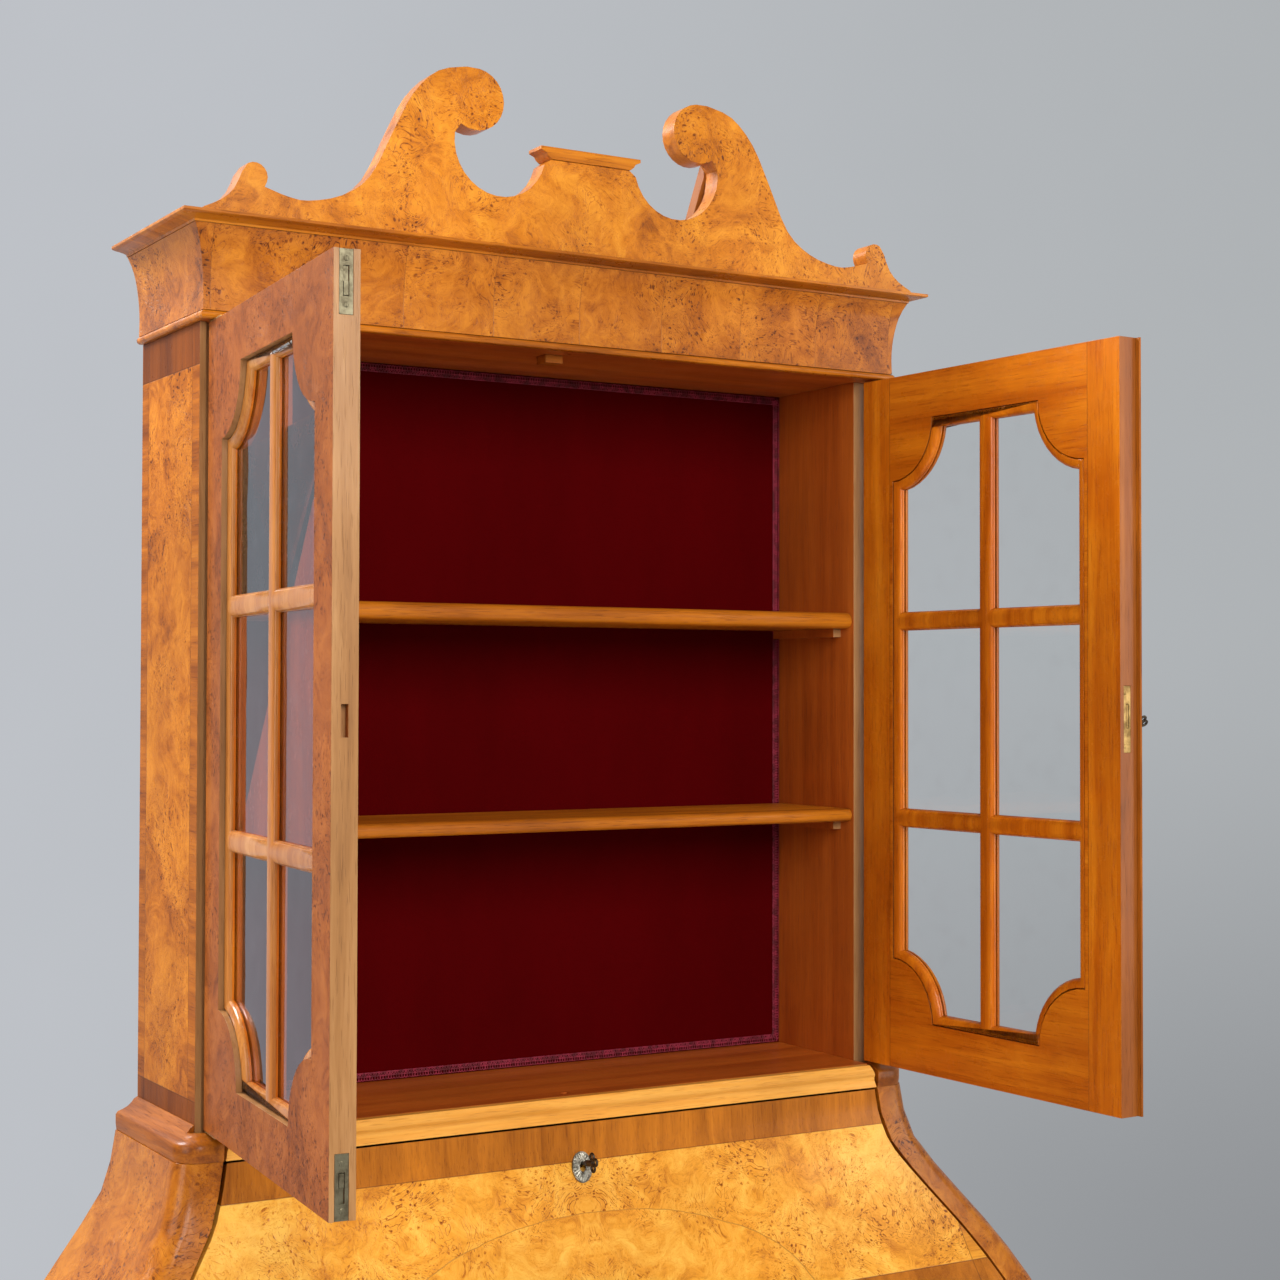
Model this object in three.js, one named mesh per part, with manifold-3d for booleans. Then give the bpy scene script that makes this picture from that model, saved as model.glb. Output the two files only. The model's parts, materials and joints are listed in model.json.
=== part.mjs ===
// Secretary desk: a glazed upper cabinet with a swan-neck pediment on a bombe fall-front desk.
// Millimetres, +Z up, +X to the right of someone facing it, -Y towards them.
// The floor is z = 0. The finished group is centred on its own footprint.
import * as THREE from 'three';
import { mergeVertices } from 'three/addons/utils/BufferGeometryUtils.js';
import Module from 'manifold-3d';

const wasm = await Module();
wasm.setup();

// ---------------------------------------------------------------- driving dimensions
const GAP = 0.3; // air kept between touching pieces

// upper cabinet
const CASE_HALF = 475; // outside half width
const CASE_INNER = 442; // inside half width
const CASE_BACK = 203;
const LINING_Y = 187.5; // face of the back board
const SIDE_LIP = 7.5; // outer lip of the sides, in front of the door rebate
const REBATE = 10.3; // depth of the door rebate
const SHELF_FRONT = 13;
const FLOOR_Z = 1080; // top of the cabinet floor
const FLOOR_THICK = 15.7;
const CEILING_Z = 1988;
const CEILING_THICK = 12;
const SHELVES = { upper: { top: 1678, thick: 21 }, lower: { top: 1415, thick: 17 } };
const BEARER = { wide: 12, high: 11, front: 40 };

// cornice, given as (projection, height) from the line CASE_HALF, CORNICE_FRONT
const CORNICE_FRONT = -19;
const CORNICE_INNER = -12;
const BEAD = { top: 1997, out: 8 };
const CROWN = { bottom: 2092, top: 2103, out: 39.5 };

// pediment
const PEDIMENT = { front: -52, thick: 28, base: CROWN.top + GAP, half: 490 };
const SCROLL = { x: 156, z: 2272, r: 37 };
const BAY = { x: 123, z: 2221, r: 61 };
const EAR = { x: 431, z: 2147, r: 15.5 };
const PLINTH = { half: 55, z: 2213 };
const CAP = { half: 69.5, top: 2228 };

// glazed doors, drawn shut and then swung on their pivots
const DOOR = {
  bottom: 1083.2, top: 1984.5, width: 464.7, heel: 1.9, front: -16.3, thick: 26.2,
  pivotX: 465.2, pivotY: -13, leftOpen: 95.5, rightOpen: 92.4,
};
const LIGHT = { centre: 232.5, z: 1536, half: 174.5, halfHigh: 389, lobe: 77 };
const BAR = { wide: 24, front: 6, back: 14.5, offset: 128, ring: 13 };
const GLASS = { front: 14.8, thick: 2.5 };

// desk
const DESK_TOP_Z = 1050;
const DESK_BACK = 203;
const BASE_Z = 130;
const SIDE_THICK = 22;
const POST = { wide: 50, deep: 38, round: 26 };
const BOARD_Z = 790; // top of the writing board
const BOARD_THICK = 22;
const BOARD_HALF = 572;
const HINGE_Y = -116; // the fall turns about this line at BOARD_Z
const FALL_SLOPE = 27.25; // lean of the flat inner face, degrees
const FALL_SWING = 271.5; // reach of the fall from its hinge line
const KNUCKLE = { inner: 13.3, outer: 43, drop: 212 };
const LOPER = { x: 528, wide: 24, bottom: 703, top: 743, back: 172 };
const GUIDE = { x: 490, thick: 16, front: -82, back: 189 };
const DRAWER_HALF = 487;
const DRAWERS = [
  { bottom: 530, top: 684, inner: -196 },
  { bottom: 350, top: 514, inner: -140 },
  { bottom: 150, top: 334, inner: -102 },
];
const RAIL = 16;
const GALLERY = { half: 440, front: 20, back: 186, top: 1022, board: 8, shelf: 876, split: 110, outer: 275 };
const FALL_LOCK = { z: 999, lean: 12.5 };
const FALL_END_GAP = 4.6; // the ends rise past the narrowing posts as the fall opens
const FOOT = { high: 92, wide: 150 };

// ---------------------------------------------------------------- colours
const finish = (color, roughness, metalness = 0) => ({ color, roughness, metalness });
const BURL = finish(0xc07a2c, 0.32);
const BURL_DARK = finish(0x9a5f38, 0.34);
const WALNUT = finish(0xb5763a, 0.38);
const STAINED = finish(0x8a4f22, 0.5);
const PALE_EDGE = finish(0xe0a850, 0.35);
const VELVET = finish(0x5a0610, 0.95);
const BRAID = finish(0x8e1b38, 0.8);
const PINE = finish(0xb58d5a, 0.7);
const GLASS_FINISH = finish(0xdfe6e6, 0.05);
const BRASS = finish(0xb8974f, 0.35, 1);
const OLD_STEEL = finish(0x8d8878, 0.42, 1);
const IRON = finish(0x4a4238, 0.45, 1);
const SILVERED = finish(0xb9b7a6, 0.38, 1);

// ---------------------------------------------------------------- solids
function toSolid(geometry) {
  const bare = geometry.clone();
  bare.deleteAttribute('normal');
  bare.deleteAttribute('uv');
  const merged = mergeVertices(bare, 1e-4);
  return new wasm.Manifold(new wasm.Mesh({
    numProp: 3,
    vertProperties: new Float32Array(merged.attributes.position.array),
    triVerts: new Uint32Array(merged.index.array),
  }));
}

function toGeometry(solid) {
  const mesh = solid.getMesh();
  const geometry = new THREE.BufferGeometry();
  geometry.setAttribute('position', new THREE.BufferAttribute(new Float32Array(mesh.vertProperties), 3));
  geometry.setIndex(new THREE.BufferAttribute(new Uint32Array(mesh.triVerts), 1));
  geometry.computeVertexNormals();
  return geometry;
}

const join = (...pieces) => toGeometry(pieces.map(toSolid).reduce((a, b) => a.add(b)));
const cut = (piece, ...tools) => (
  toGeometry(tools.map(toSolid).reduce((a, b) => a.subtract(b), toSolid(piece)))
);
const common = (a, b) => toGeometry(toSolid(a).intersect(toSolid(b)));

function block(x0, x1, y0, y1, z0, z1) {
  const geometry = new THREE.BoxGeometry(x1 - x0, y1 - y0, z1 - z0);
  return geometry.translate((x0 + x1) / 2, (y0 + y1) / 2, (z0 + z1) / 2);
}

function rod(radius, length, sides = 20) {
  return new THREE.CylinderGeometry(radius, radius, length, sides);
}

const outline = (points) => new THREE.Shape(points.map(([a, b]) => new THREE.Vector2(a, b)));

// An outline in (x, z), run from yFront to yBack.
function alongY(shape, yFront, yBack, curveSegments = 10) {
  const geometry = new THREE.ExtrudeGeometry(shape, {
    depth: yBack - yFront, bevelEnabled: false, steps: 1, curveSegments,
  });
  return geometry.rotateX(Math.PI / 2).translate(0, yBack, 0);
}

// An outline in (y, z), run from x0 to x1.
function alongX(shape, x0, x1) {
  const geometry = new THREE.ExtrudeGeometry(shape, { depth: x1 - x0, bevelEnabled: false, steps: 1 });
  const turn = new THREE.Matrix4().makeBasis(
    new THREE.Vector3(0, 1, 0), new THREE.Vector3(0, 0, 1), new THREE.Vector3(1, 0, 0),
  );
  return geometry.applyMatrix4(turn).translate(x0, 0, 0);
}

// An outline in (x, y), run from z0 to z1.
function alongZ(shape, z0, z1) {
  const geometry = new THREE.ExtrudeGeometry(shape, { depth: z1 - z0, bevelEnabled: false, steps: 1 });
  return geometry.translate(0, 0, z0);
}

// A skin over rings of equal point count, with flat ends cut from the flat outline of a ring.
function skin(rings, flat) {
  const count = flat.length;
  const positions = rings.flat().flatMap((p) => [p.x, p.y, p.z]);
  const index = [];
  for (let r = 0; r < rings.length - 1; r += 1) {
    for (let i = 0; i < count; i += 1) {
      const a = r * count + i;
      const b = r * count + ((i + 1) % count);
      index.push(a, b, b + count, a, b + count, a + count);
    }
  }
  const last = (rings.length - 1) * count;
  const clockwise = THREE.ShapeUtils.isClockWise(flat);
  for (const [a, b, c] of THREE.ShapeUtils.triangulateShape(flat, [])) {
    const [p, q] = clockwise ? [c, b] : [b, c];
    index.push(a, q, p, last + a, last + p, last + q);
  }
  const geometry = new THREE.BufferGeometry();
  geometry.setAttribute('position', new THREE.Float32BufferAttribute(positions, 3));
  geometry.setIndex(index);
  const solid = toSolid(geometry);
  return solid.volume() < 0 ? toGeometry(toSolid(flipped(geometry))) : toGeometry(solid);
}

function flipped(geometry) {
  const turned = geometry.clone();
  const index = turned.index.array;
  for (let i = 0; i < index.length; i += 3) {
    [index[i + 1], index[i + 2]] = [index[i + 2], index[i + 1]];
  }
  return turned;
}

// A moulding round the left, front and right of the cabinet, mitred at both corners.
function mitred(profile, half, front, back) {
  const corners = [[-1, back, 0], [-1, front, -1], [1, front, -1], [1, back, 0]];
  const rings = corners.map(([side, y, forward]) => profile.map(([out, z]) => (
    new THREE.Vector3(side * (half + out), y + forward * out, z)
  )));
  return skin(rings, profile.map(([out, z]) => new THREE.Vector2(out, z)));
}

// A smooth value against height, through [height, value] knots.
function smooth(knots) {
  const slope = knots.map((knot, i) => {
    const a = knots[Math.max(i - 1, 0)];
    const b = knots[Math.min(i + 1, knots.length - 1)];
    return (b[1] - a[1]) / (b[0] - a[0]);
  });
  return (z) => {
    let i = knots.findIndex((knot) => knot[0] > z) - 1;
    if (i === -2) i = knots.length - 2;
    i = Math.max(i, 0);
    const [z0, v0] = knots[i];
    const [z1, v1] = knots[i + 1];
    const h = z1 - z0;
    const t = (z - z0) / h;
    return v0 * (1 + 2 * t) * (1 - t) ** 2 + slope[i] * h * t * (1 - t) ** 2
      + v1 * t * t * (3 - 2 * t) + slope[i + 1] * h * t * t * (t - 1);
  };
}

const steps = (from, to, count) => (
  Array.from({ length: count + 1 }, (_, i) => from + ((to - from) * i) / count)
);
const polar = (x, z, r, degrees) => [
  x + r * Math.cos(THREE.MathUtils.degToRad(degrees)), z + r * Math.sin(THREE.MathUtils.degToRad(degrees)),
];
const arc = (x, z, r, from, to, count) => steps(from, to, count).map((a) => polar(x, z, r, a));

// Outside half width and front face of the bombe desk.
const halfWidth = smooth([
  [60, 548], [130, 550], [250, 556], [400, 584], [560, 626], [690, 645], [794, 630], [858, 602],
  [935, 548], [976, 520], [1016, 507], [1050, 501.5],
]);
const frontFace = smooth([
  [60, -118], [130, -122], [250, -136], [400, -178], [560, -218], [690, -222], [794, -150], [858, -103],
  [935, -58], [976, -40], [1016, -31], [1050, -29],
]);

// ---------------------------------------------------------------- nodes
const desk = new THREE.Group();

function place(name, geometry, { color, roughness, metalness }, parent = desk) {
  const mesh = new THREE.Mesh(geometry, new THREE.MeshStandardMaterial({ color, roughness, metalness }));
  mesh.name = name;
  parent.add(mesh);
  return mesh;
}

// ---------------------------------------------------------------- upper cabinet
function upperSide(side) {
  const plan = outline([
    [CASE_HALF, 0], [CASE_HALF, CASE_BACK], [CASE_HALF - SIDE_LIP * 2, CASE_BACK],
    [CASE_HALF - SIDE_LIP * 2, LINING_Y], [CASE_INNER, LINING_Y], [CASE_INNER, REBATE],
    [CASE_HALF - SIDE_LIP, REBATE], [CASE_HALF - SIDE_LIP, 0],
  ].map(([x, y]) => [side * x, y]));
  const panel = alongZ(plan, DESK_TOP_Z + 14 + GAP, CEILING_Z - GAP);
  const bearers = Object.values(SHELVES).map(({ top, thick }) => {
    const inner = side * (CASE_INNER - BEARER.wide);
    const outer = side * (CASE_INNER + 1);
    const under = top - thick - GAP;
    const [x0, x1] = [Math.min(inner, outer), Math.max(inner, outer)];
    return block(x0, x1, BEARER.front, LINING_Y - 4, under - BEARER.high, under);
  });
  return join(panel, ...bearers);
}

function upperCabinet() {
  place('upper_side_left', upperSide(-1), BURL);
  place('upper_side_right', upperSide(1), BURL);
  const inner = CASE_INNER - GAP;
  const boltHole = (z0, z1) => block(-9.5, -1, -8, 0, z0, z1);
  const floor = block(-inner, inner, -19.7, LINING_Y, FLOOR_Z - FLOOR_THICK, FLOOR_Z);
  place('upper_floor_board', cut(floor, boltHole(FLOOR_Z - 8, FLOOR_Z + 5)), STAINED);
  const [ceilingFront, ceilingTop] = [CORNICE_FRONT + GAP, CEILING_Z + CEILING_THICK];
  const ceiling = block(-CASE_HALF, CASE_HALF, ceilingFront, CASE_BACK, CEILING_Z, ceilingTop);
  place('upper_ceiling_board', cut(ceiling, boltHole(CEILING_Z - 5, CEILING_Z + 8)), STAINED);
  const backHalf = CASE_HALF - SIDE_LIP * 2 - GAP;
  place('upper_back_board',
    block(-backHalf, backHalf, LINING_Y + GAP, CASE_BACK, FLOOR_Z - FLOOR_THICK, CEILING_Z - GAP), PINE);
  const lining = inner - GAP;
  const liningFront = LINING_Y - 1.5;
  place('velvet_lining',
    block(-lining, lining, liningFront, LINING_Y - 0.05, FLOOR_Z + GAP, CEILING_Z - GAP), VELVET);
  const band = 13;
  const [braidFront, braidBack] = [liningFront - 2.5, liningFront - 0.1];
  const braidOuter = block(-lining, lining, braidFront, braidBack, FLOOR_Z + GAP, CEILING_Z - GAP);
  const braidInner = block(-lining + band, lining - band, liningFront - 9, liningFront + 9,
    FLOOR_Z + band, CEILING_Z - band);
  place('gimp_braid', cut(braidOuter, braidInner), BRAID);
  for (const [name, { top, thick }] of Object.entries(SHELVES)) {
    place(`shelf_${name}`, shelf(top, thick), WALNUT);
  }
  place('door_stop_block', block(-28, -4, REBATE + GAP, 34, CEILING_Z - 10, CEILING_Z - GAP), WALNUT);
}

// A shelf with a rounded front edge.
function shelf(top, thick) {
  const r = thick / 2;
  const nose = arc(SHELF_FRONT + r, top - r, r, 90, 270, 8);
  const back = LINING_Y - 4.8;
  const section = outline([...nose, [back, top - thick], [back, top]]);
  return alongX(section, -CASE_INNER + 1, CASE_INNER - 1);
}

// ---------------------------------------------------------------- cornice
function cornice() {
  const bead = [
    [GAP, CEILING_Z], [3, CEILING_Z],
    ...arc(3.5, (CEILING_Z + BEAD.top) / 2, (BEAD.top - CEILING_Z) / 2, -80, 80, 6),
    [3, BEAD.top], [GAP, BEAD.top],
  ];
  place('cornice_bead', mitred(bead, CASE_HALF, CORNICE_FRONT, CASE_BACK), WALNUT);

  const hollow = smooth([
    [1997, 5.2], [2015, 4.7], [2033, 5.3], [2051, 7.3], [2069, 10.8], [2081, 14.7], [2092, 20],
  ]);
  const coved = steps(BEAD.top + GAP, CROWN.bottom - GAP, 10).map((z) => [hollow(z), z]);
  const shelfTop = CEILING_Z + CEILING_THICK + GAP;
  const frieze = [
    [CORNICE_INNER, shelfTop], [GAP, shelfTop], [GAP, BEAD.top + GAP], ...coved,
    [CORNICE_INNER, CROWN.bottom - GAP],
  ];
  place('cornice_frieze', mitred(frieze, CASE_HALF, CORNICE_FRONT, CASE_BACK), BURL);

  const crown = [
    [CORNICE_INNER, CROWN.bottom], [21, CROWN.bottom], [21.5, CROWN.bottom + 2.6], [25, CROWN.bottom + 4],
    [30, CROWN.bottom + 5.2], [35, CROWN.bottom + 6], [38.5, CROWN.bottom + 7], [CROWN.out, CROWN.top - 3],
    [CROWN.out, CROWN.top], [CORNICE_INNER, CROWN.top],
  ];
  place('crown_moulding', mitred(crown, CASE_HALF, CORNICE_FRONT, CASE_BACK), WALNUT);
  const inner = CASE_HALF + CORNICE_INNER - GAP;
  place('cornice_dust_board',
    block(-inner, inner, CORNICE_FRONT - CORNICE_INNER + GAP, CASE_BACK, CROWN.bottom, CROWN.top), PINE);
}

// Right half of the pediment's outline, from the foot of the end slope to the plinth.
function pedimentHalf() {
  const slope = new THREE.SplineCurve([[PEDIMENT.half, 2106], [470, 2116], [455, 2130], [446, 2150]]
    .map(([x, z]) => new THREE.Vector2(x, z))).getPoints(6).map((p) => [p.x, p.y]);
  const sweep = new THREE.SplineCurve([
    [412, 2134], [392, 2128.5], [367, 2126.5], [326, 2137.5], [291, 2164], [262, 2221], [237, 2268],
    [205, 2299], [168, 2309],
  ].map(([x, z]) => new THREE.Vector2(x, z))).getPoints(24).map((p) => [p.x, p.y]);
  return [
    [PEDIMENT.half, PEDIMENT.base],
    ...slope,
    ...arc(EAR.x, EAR.z, EAR.r, 60, 200, 7),
    [419, 2136],
    ...sweep,
    ...arc(SCROLL.x, SCROLL.z, SCROLL.r, 97, 302, 15),
    ...arc(BAY.x, BAY.z, BAY.r, 8, -166, 15),
    [PLINTH.half, PLINTH.z],
  ];
}

function pediment() {
  const right = pedimentHalf();
  const left = right.map(([x, z]) => [-x, z]).reverse();
  const back = PEDIMENT.front + PEDIMENT.thick;
  place('pediment_board', alongY(outline([...right, ...left]), PEDIMENT.front, back), BURL);
  const capEnd = [
    [PLINTH.half, PLINTH.z + GAP], [PLINTH.half + 5, PLINTH.z + 4], [PLINTH.half + 7.5, PLINTH.z + 8],
    [CAP.half, CAP.top - 4], [CAP.half, CAP.top],
  ];
  const cap = outline([...capEnd, ...capEnd.map(([x, z]) => [-x, z]).reverse()]);
  place('pediment_cap', alongY(cap, PEDIMENT.front - 2, back + 2), WALNUT);
  const foot = CROWN.top + GAP;
  const brace = outline([[back + GAP, 2258], [back + GAP, 2226], [46, foot], [64, foot]]);
  place('pediment_brace', alongX(brace, 181, 199), PINE);
}

// ---------------------------------------------------------------- glazed doors
// The light's outline, set in from the opening by `inset`, centred on the door's light.
function lightOutline(inset, hinge) {
  const { half, halfHigh, lobe } = LIGHT;
  const r = lobe + inset;
  const turn = THREE.MathUtils.radToDeg(Math.asin(inset / r));
  const quarter = (sx, sz, from, to) => arc(sx * half, sz * halfHigh, r, from, to, 9);
  const points = [
    ...quarter(1, 1, 180 + turn, 270 - turn), ...quarter(1, -1, 90 + turn, 180 - turn),
    ...quarter(-1, -1, turn, 90 - turn), ...quarter(-1, 1, 270 + turn, 360 - turn),
  ];
  return points.map(([x, z]) => [hinge * (x + LIGHT.centre), z + LIGHT.z]);
}

function lightSlab(inset, hinge, front, back) {
  const face = DOOR.front - DOOR.pivotY;
  return alongY(outline(lightOutline(inset, hinge)), face + front, face + back);
}

// u runs from the pivot towards the lock edge and depth from the door's outer face.
function doorBlock(hinge, u0, u1, depth0, depth1, z0, z1) {
  const face = DOOR.front - DOOR.pivotY;
  const [x0, x1] = [Math.min(hinge * u0, hinge * u1), Math.max(hinge * u0, hinge * u1)];
  return block(x0, x1, face + depth0, face + depth1, z0, z1);
}

function glazingBars(hinge) {
  const ring = cut(lightSlab(GAP, hinge, BAR.front, BAR.back), lightSlab(BAR.ring, hinge, 0, DOOR.thick));
  const within = lightSlab(BAR.ring - 2, hinge, BAR.front, BAR.back);
  const half = BAR.wide / 2;
  const upright = doorBlock(hinge, LIGHT.centre - half, LIGHT.centre + half, BAR.front, BAR.back,
    LIGHT.z - LIGHT.halfHigh, LIGHT.z + LIGHT.halfHigh);
  const cross = [-1, 1].map((s) => doorBlock(hinge, 0, DOOR.width, BAR.front, BAR.back,
    LIGHT.z + s * BAR.offset - half, LIGHT.z + s * BAR.offset + half));
  return join(ring, common(join(upright, ...cross), within));
}

function doorGroup(side, degrees) {
  const group = new THREE.Group();
  group.position.set(side * DOOR.pivotX, DOOR.pivotY, 0);
  group.rotation.z = side * THREE.MathUtils.degToRad(degrees);
  desk.add(group);
  return group;
}

function doorFrame(hinge, pockets) {
  const leaf = doorBlock(hinge, -DOOR.heel, DOOR.width, 0, DOOR.thick, DOOR.bottom, DOOR.top);
  return cut(leaf, lightSlab(0, hinge, -5, DOOR.thick + 5), ...pockets);
}

function knifeHinge(hinge, top) {
  const plateBottom = top ? DOOR.top + GAP : DOOR.bottom - 2.2;
  const plate = doorBlock(hinge, -1, 44, 1, 15, plateBottom, plateBottom + 1.9);
  const pinBottom = top ? plateBottom + 0.5 : plateBottom - 0.6;
  const pin = rod(2.6, 2.2, 12).rotateX(Math.PI / 2).translate(0, 0, pinBottom + 1.1);
  return join(plate, pin);
}

const BOLT_PLATE = { front: 5.6, back: 19, thick: 1.6, long: 62 };

// Plate let into the lock edge, with a slot for the bolt's thumb slide.
function boltPlate(hinge, from, to, slot0, slot1) {
  const { front, back, thick } = BOLT_PLATE;
  const plate = doorBlock(hinge, DOOR.width - thick, DOOR.width, front, back, from, to);
  return cut(plate, doorBlock(hinge, DOOR.width - 4, DOOR.width + 1, 9.3, 15.3, slot0, slot1));
}

// Rod behind the plate, with a thumb slide standing in the slot.
function flushBolt(hinge, rod0, rod1, knob0, knob1) {
  const bar = doorBlock(hinge, DOOR.width - 7.5, DOOR.width - 2, 9.8, 14.8, rod0, rod1);
  const knob = doorBlock(hinge, DOOR.width - 2.5, DOOR.width - 0.2, 10, 14.6, knob0, knob1);
  return join(bar, knob);
}

function leftDoor() {
  const group = doorGroup(-1, DOOR.leftOpen);
  const hinge = 1;
  const { front, back, thick, long } = BOLT_PLATE;
  const plateSpan = (z0, z1) => (
    doorBlock(hinge, DOOR.width - thick - GAP, DOOR.width + 1, front - GAP, back + GAP, z0, z1)
  );
  const bore = (z0, z1) => doorBlock(hinge, DOOR.width - 8, DOOR.width - 1, 9.3, 15.3, z0, z1);
  const strike = doorBlock(hinge, DOOR.width - 9, DOOR.width + 1, 9.5, 16.5, 1529, 1560);
  const pockets = [
    plateSpan(DOOR.top - long - GAP, DOOR.top + 1), bore(DOOR.top - 58, DOOR.top + 1),
    plateSpan(DOOR.bottom - 1, DOOR.bottom + long + GAP), bore(DOOR.bottom - 1, DOOR.bottom + 58), strike,
  ];
  place('door_frame_left', doorFrame(hinge, pockets), BURL_DARK, group);
  place('glazing_bars_left', glazingBars(hinge), WALNUT, group);
  place('glass_left', lightSlab(1, hinge, GLASS.front, GLASS.front + GLASS.thick), GLASS_FINISH, group);
  place('knife_hinge_left_top', knifeHinge(hinge, true), BRASS, group);
  place('knife_hinge_left_bottom', knifeHinge(hinge, false), BRASS, group);
  place('flush_plate_top',
    boltPlate(hinge, DOOR.top - long, DOOR.top - 0.4, DOOR.top - 45, DOOR.top - 16), OLD_STEEL, group);
  place('flush_bolt_top',
    flushBolt(hinge, DOOR.top - 52, DOOR.top - 8.5, DOOR.top - 44, DOOR.top - 31), OLD_STEEL, group);
  const foot = DOOR.bottom;
  const plate = boltPlate(hinge, foot + 0.4, foot + long, foot + 16, foot + 45);
  place('flush_plate_bottom', plate, OLD_STEEL, group);
  place('flush_bolt_bottom', flushBolt(hinge, foot + 8.5, foot + 52, foot + 31, foot + 44), OLD_STEEL, group);
}

const LOCK = { z: 1541, long: 77, front: 9.5, back: 20.5, keyZ: 1536, keyU: 446 };

// A key lying along -Y from the keyhole: stem, collar and a flat pierced bow, turned about its stem.
function key(stem, bowRadius, degrees) {
  const shank = rod(2.4, stem, 14).translate(0, -stem / 2, 0);
  const collar = rod(4, 3, 14).translate(0, -stem * 0.72, 0);
  const disc = (r, x, y, high) => rod(r, high, 18).rotateX(Math.PI / 2).translate(x, y, 0);
  const lobes = [[0, -stem - bowRadius * 1.15], [-bowRadius * 0.75, -stem - bowRadius * 0.35],
    [bowRadius * 0.75, -stem - bowRadius * 0.35]];
  const leaves = lobes.map(([x, y]) => disc(bowRadius * 0.62, x, y, 3.2));
  const bow = join(...leaves, disc(bowRadius * 0.6, 0, -stem - 2, 3.2));
  const holes = lobes.map(([x, y]) => disc(bowRadius * 0.3, x, y, 6));
  return join(shank, collar, cut(bow, ...holes)).rotateY(THREE.MathUtils.degToRad(degrees));
}

function rightDoor() {
  const group = doorGroup(1, DOOR.rightOpen);
  const hinge = -1;
  const halfLong = LOCK.long / 2;
  const lockPocket = doorBlock(hinge, DOOR.width - 42, DOOR.width + 1, LOCK.front - GAP, LOCK.back + GAP,
    LOCK.z - halfLong - GAP, LOCK.z + halfLong + GAP);
  const face = DOOR.front - DOOR.pivotY;
  const keyHole = rod(4.6, 20, 14).translate(hinge * LOCK.keyU, face + 6, LOCK.keyZ);
  place('door_frame_right', doorFrame(hinge, [lockPocket, keyHole]), BURL, group);
  place('glazing_bars_right', glazingBars(hinge), WALNUT, group);
  place('glass_right', lightSlab(1, hinge, GLASS.front, GLASS.front + GLASS.thick), GLASS_FINISH, group);
  place('knife_hinge_right_top', knifeHinge(hinge, true), BRASS, group);
  place('knife_hinge_right_bottom', knifeHinge(hinge, false), BRASS, group);
  const bead = outline([
    [hinge * (DOOR.width - 8), face - GAP], [hinge * (DOOR.width + 5.5), face - GAP],
    [hinge * (DOOR.width + 6), face - 2.6], [hinge * (DOOR.width + 2.5), face - 4.6],
    [hinge * (DOOR.width - 3.5), face - 4.6], [hinge * (DOOR.width - 7.5), face - 2.6],
  ]);
  place('door_astragal', alongZ(bead, DOOR.bottom, DOOR.top), WALNUT, group);
  const caseU = DOOR.width - 41;
  const [lockFoot, lockHead] = [LOCK.z - halfLong, LOCK.z + halfLong];
  const body = doorBlock(hinge, caseU, DOOR.width - GAP, LOCK.front, LOCK.back, lockFoot, lockHead);
  const boltWay = doorBlock(hinge, DOOR.width - 14, DOOR.width + 1, 12.2, 16.4, LOCK.z - 10.6, LOCK.z + 17.6);
  const keyWay = rod(4.6, 30, 14).translate(hinge * LOCK.keyU, face + 6, LOCK.keyZ);
  place('door_lock', cut(body, boltWay, keyWay), BRASS, group);
  const bolt = doorBlock(hinge, DOOR.width - 13.6, DOOR.width - 0.6, 12.8, 15.8, LOCK.z - 10, LOCK.z + 17);
  place('door_lock_bolt', bolt, BRASS, group);
  const doorKey = place('door_key', key(30, 8.5, 50), IRON, group);
  doorKey.position.set(hinge * LOCK.keyU, face + 8, LOCK.keyZ);
}

// ---------------------------------------------------------------- desk case
const caseLevels = steps(BASE_Z, DESK_TOP_Z - GAP, 26);

// Everything between the two outside curves, drawn in by `inset`, from z0 to z1.
function betweenSides(inset, z0, z1, y0, y1, count = 12) {
  const right = steps(z0, z1, count).map((z) => [halfWidth(z) - inset, z]);
  const left = right.map(([x, z]) => [-x, z]).reverse();
  return alongY(outline([...right, ...left]), y0, y1);
}

// A front with the desk's swell outside and a flat face at yInner.
function swelledFront(z0, z1, yInner, x0, x1, count = 12) {
  const face = steps(z0, z1, count).map((z) => [frontFace(z), z]);
  return alongX(outline([...face, [yInner, z1], [yInner, z0]]), x0, x1);
}

function deskSide(side) {
  const outer = caseLevels.map((z) => [side * halfWidth(z), z]);
  const inner = caseLevels.map((z) => [side * (halfWidth(z) - SIDE_THICK), z]).reverse();
  const wall = alongY(outline([...outer, ...inner]), -200, DESK_BACK);
  const top = DESK_TOP_Z - GAP;
  const behind = caseLevels.map((z) => [frontFace(z) + POST.deep + GAP, z]);
  const keep = alongX(outline([...behind, [DESK_BACK + 5, top], [DESK_BACK + 5, BASE_Z]]), -700, 700);
  return common(wall, keep);
}

// Rounded corner post that follows the swell of both faces.
function cornerPost(side) {
  const { wide, deep, round } = POST;
  const ring = (z) => {
    const x = halfWidth(z);
    const y = frontFace(z);
    const corner = arc(x - round, y + round, round, -90, 0, 6);
    return [[x - wide, y], ...corner, [x, y + deep], [x - wide, y + deep]]
      .map(([px, py]) => new THREE.Vector3(side * px, py, z));
  };
  const rings = caseLevels.map(ring);
  return skin(rings, rings[0].map((p) => new THREE.Vector2(p.x, p.y)));
}

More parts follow.
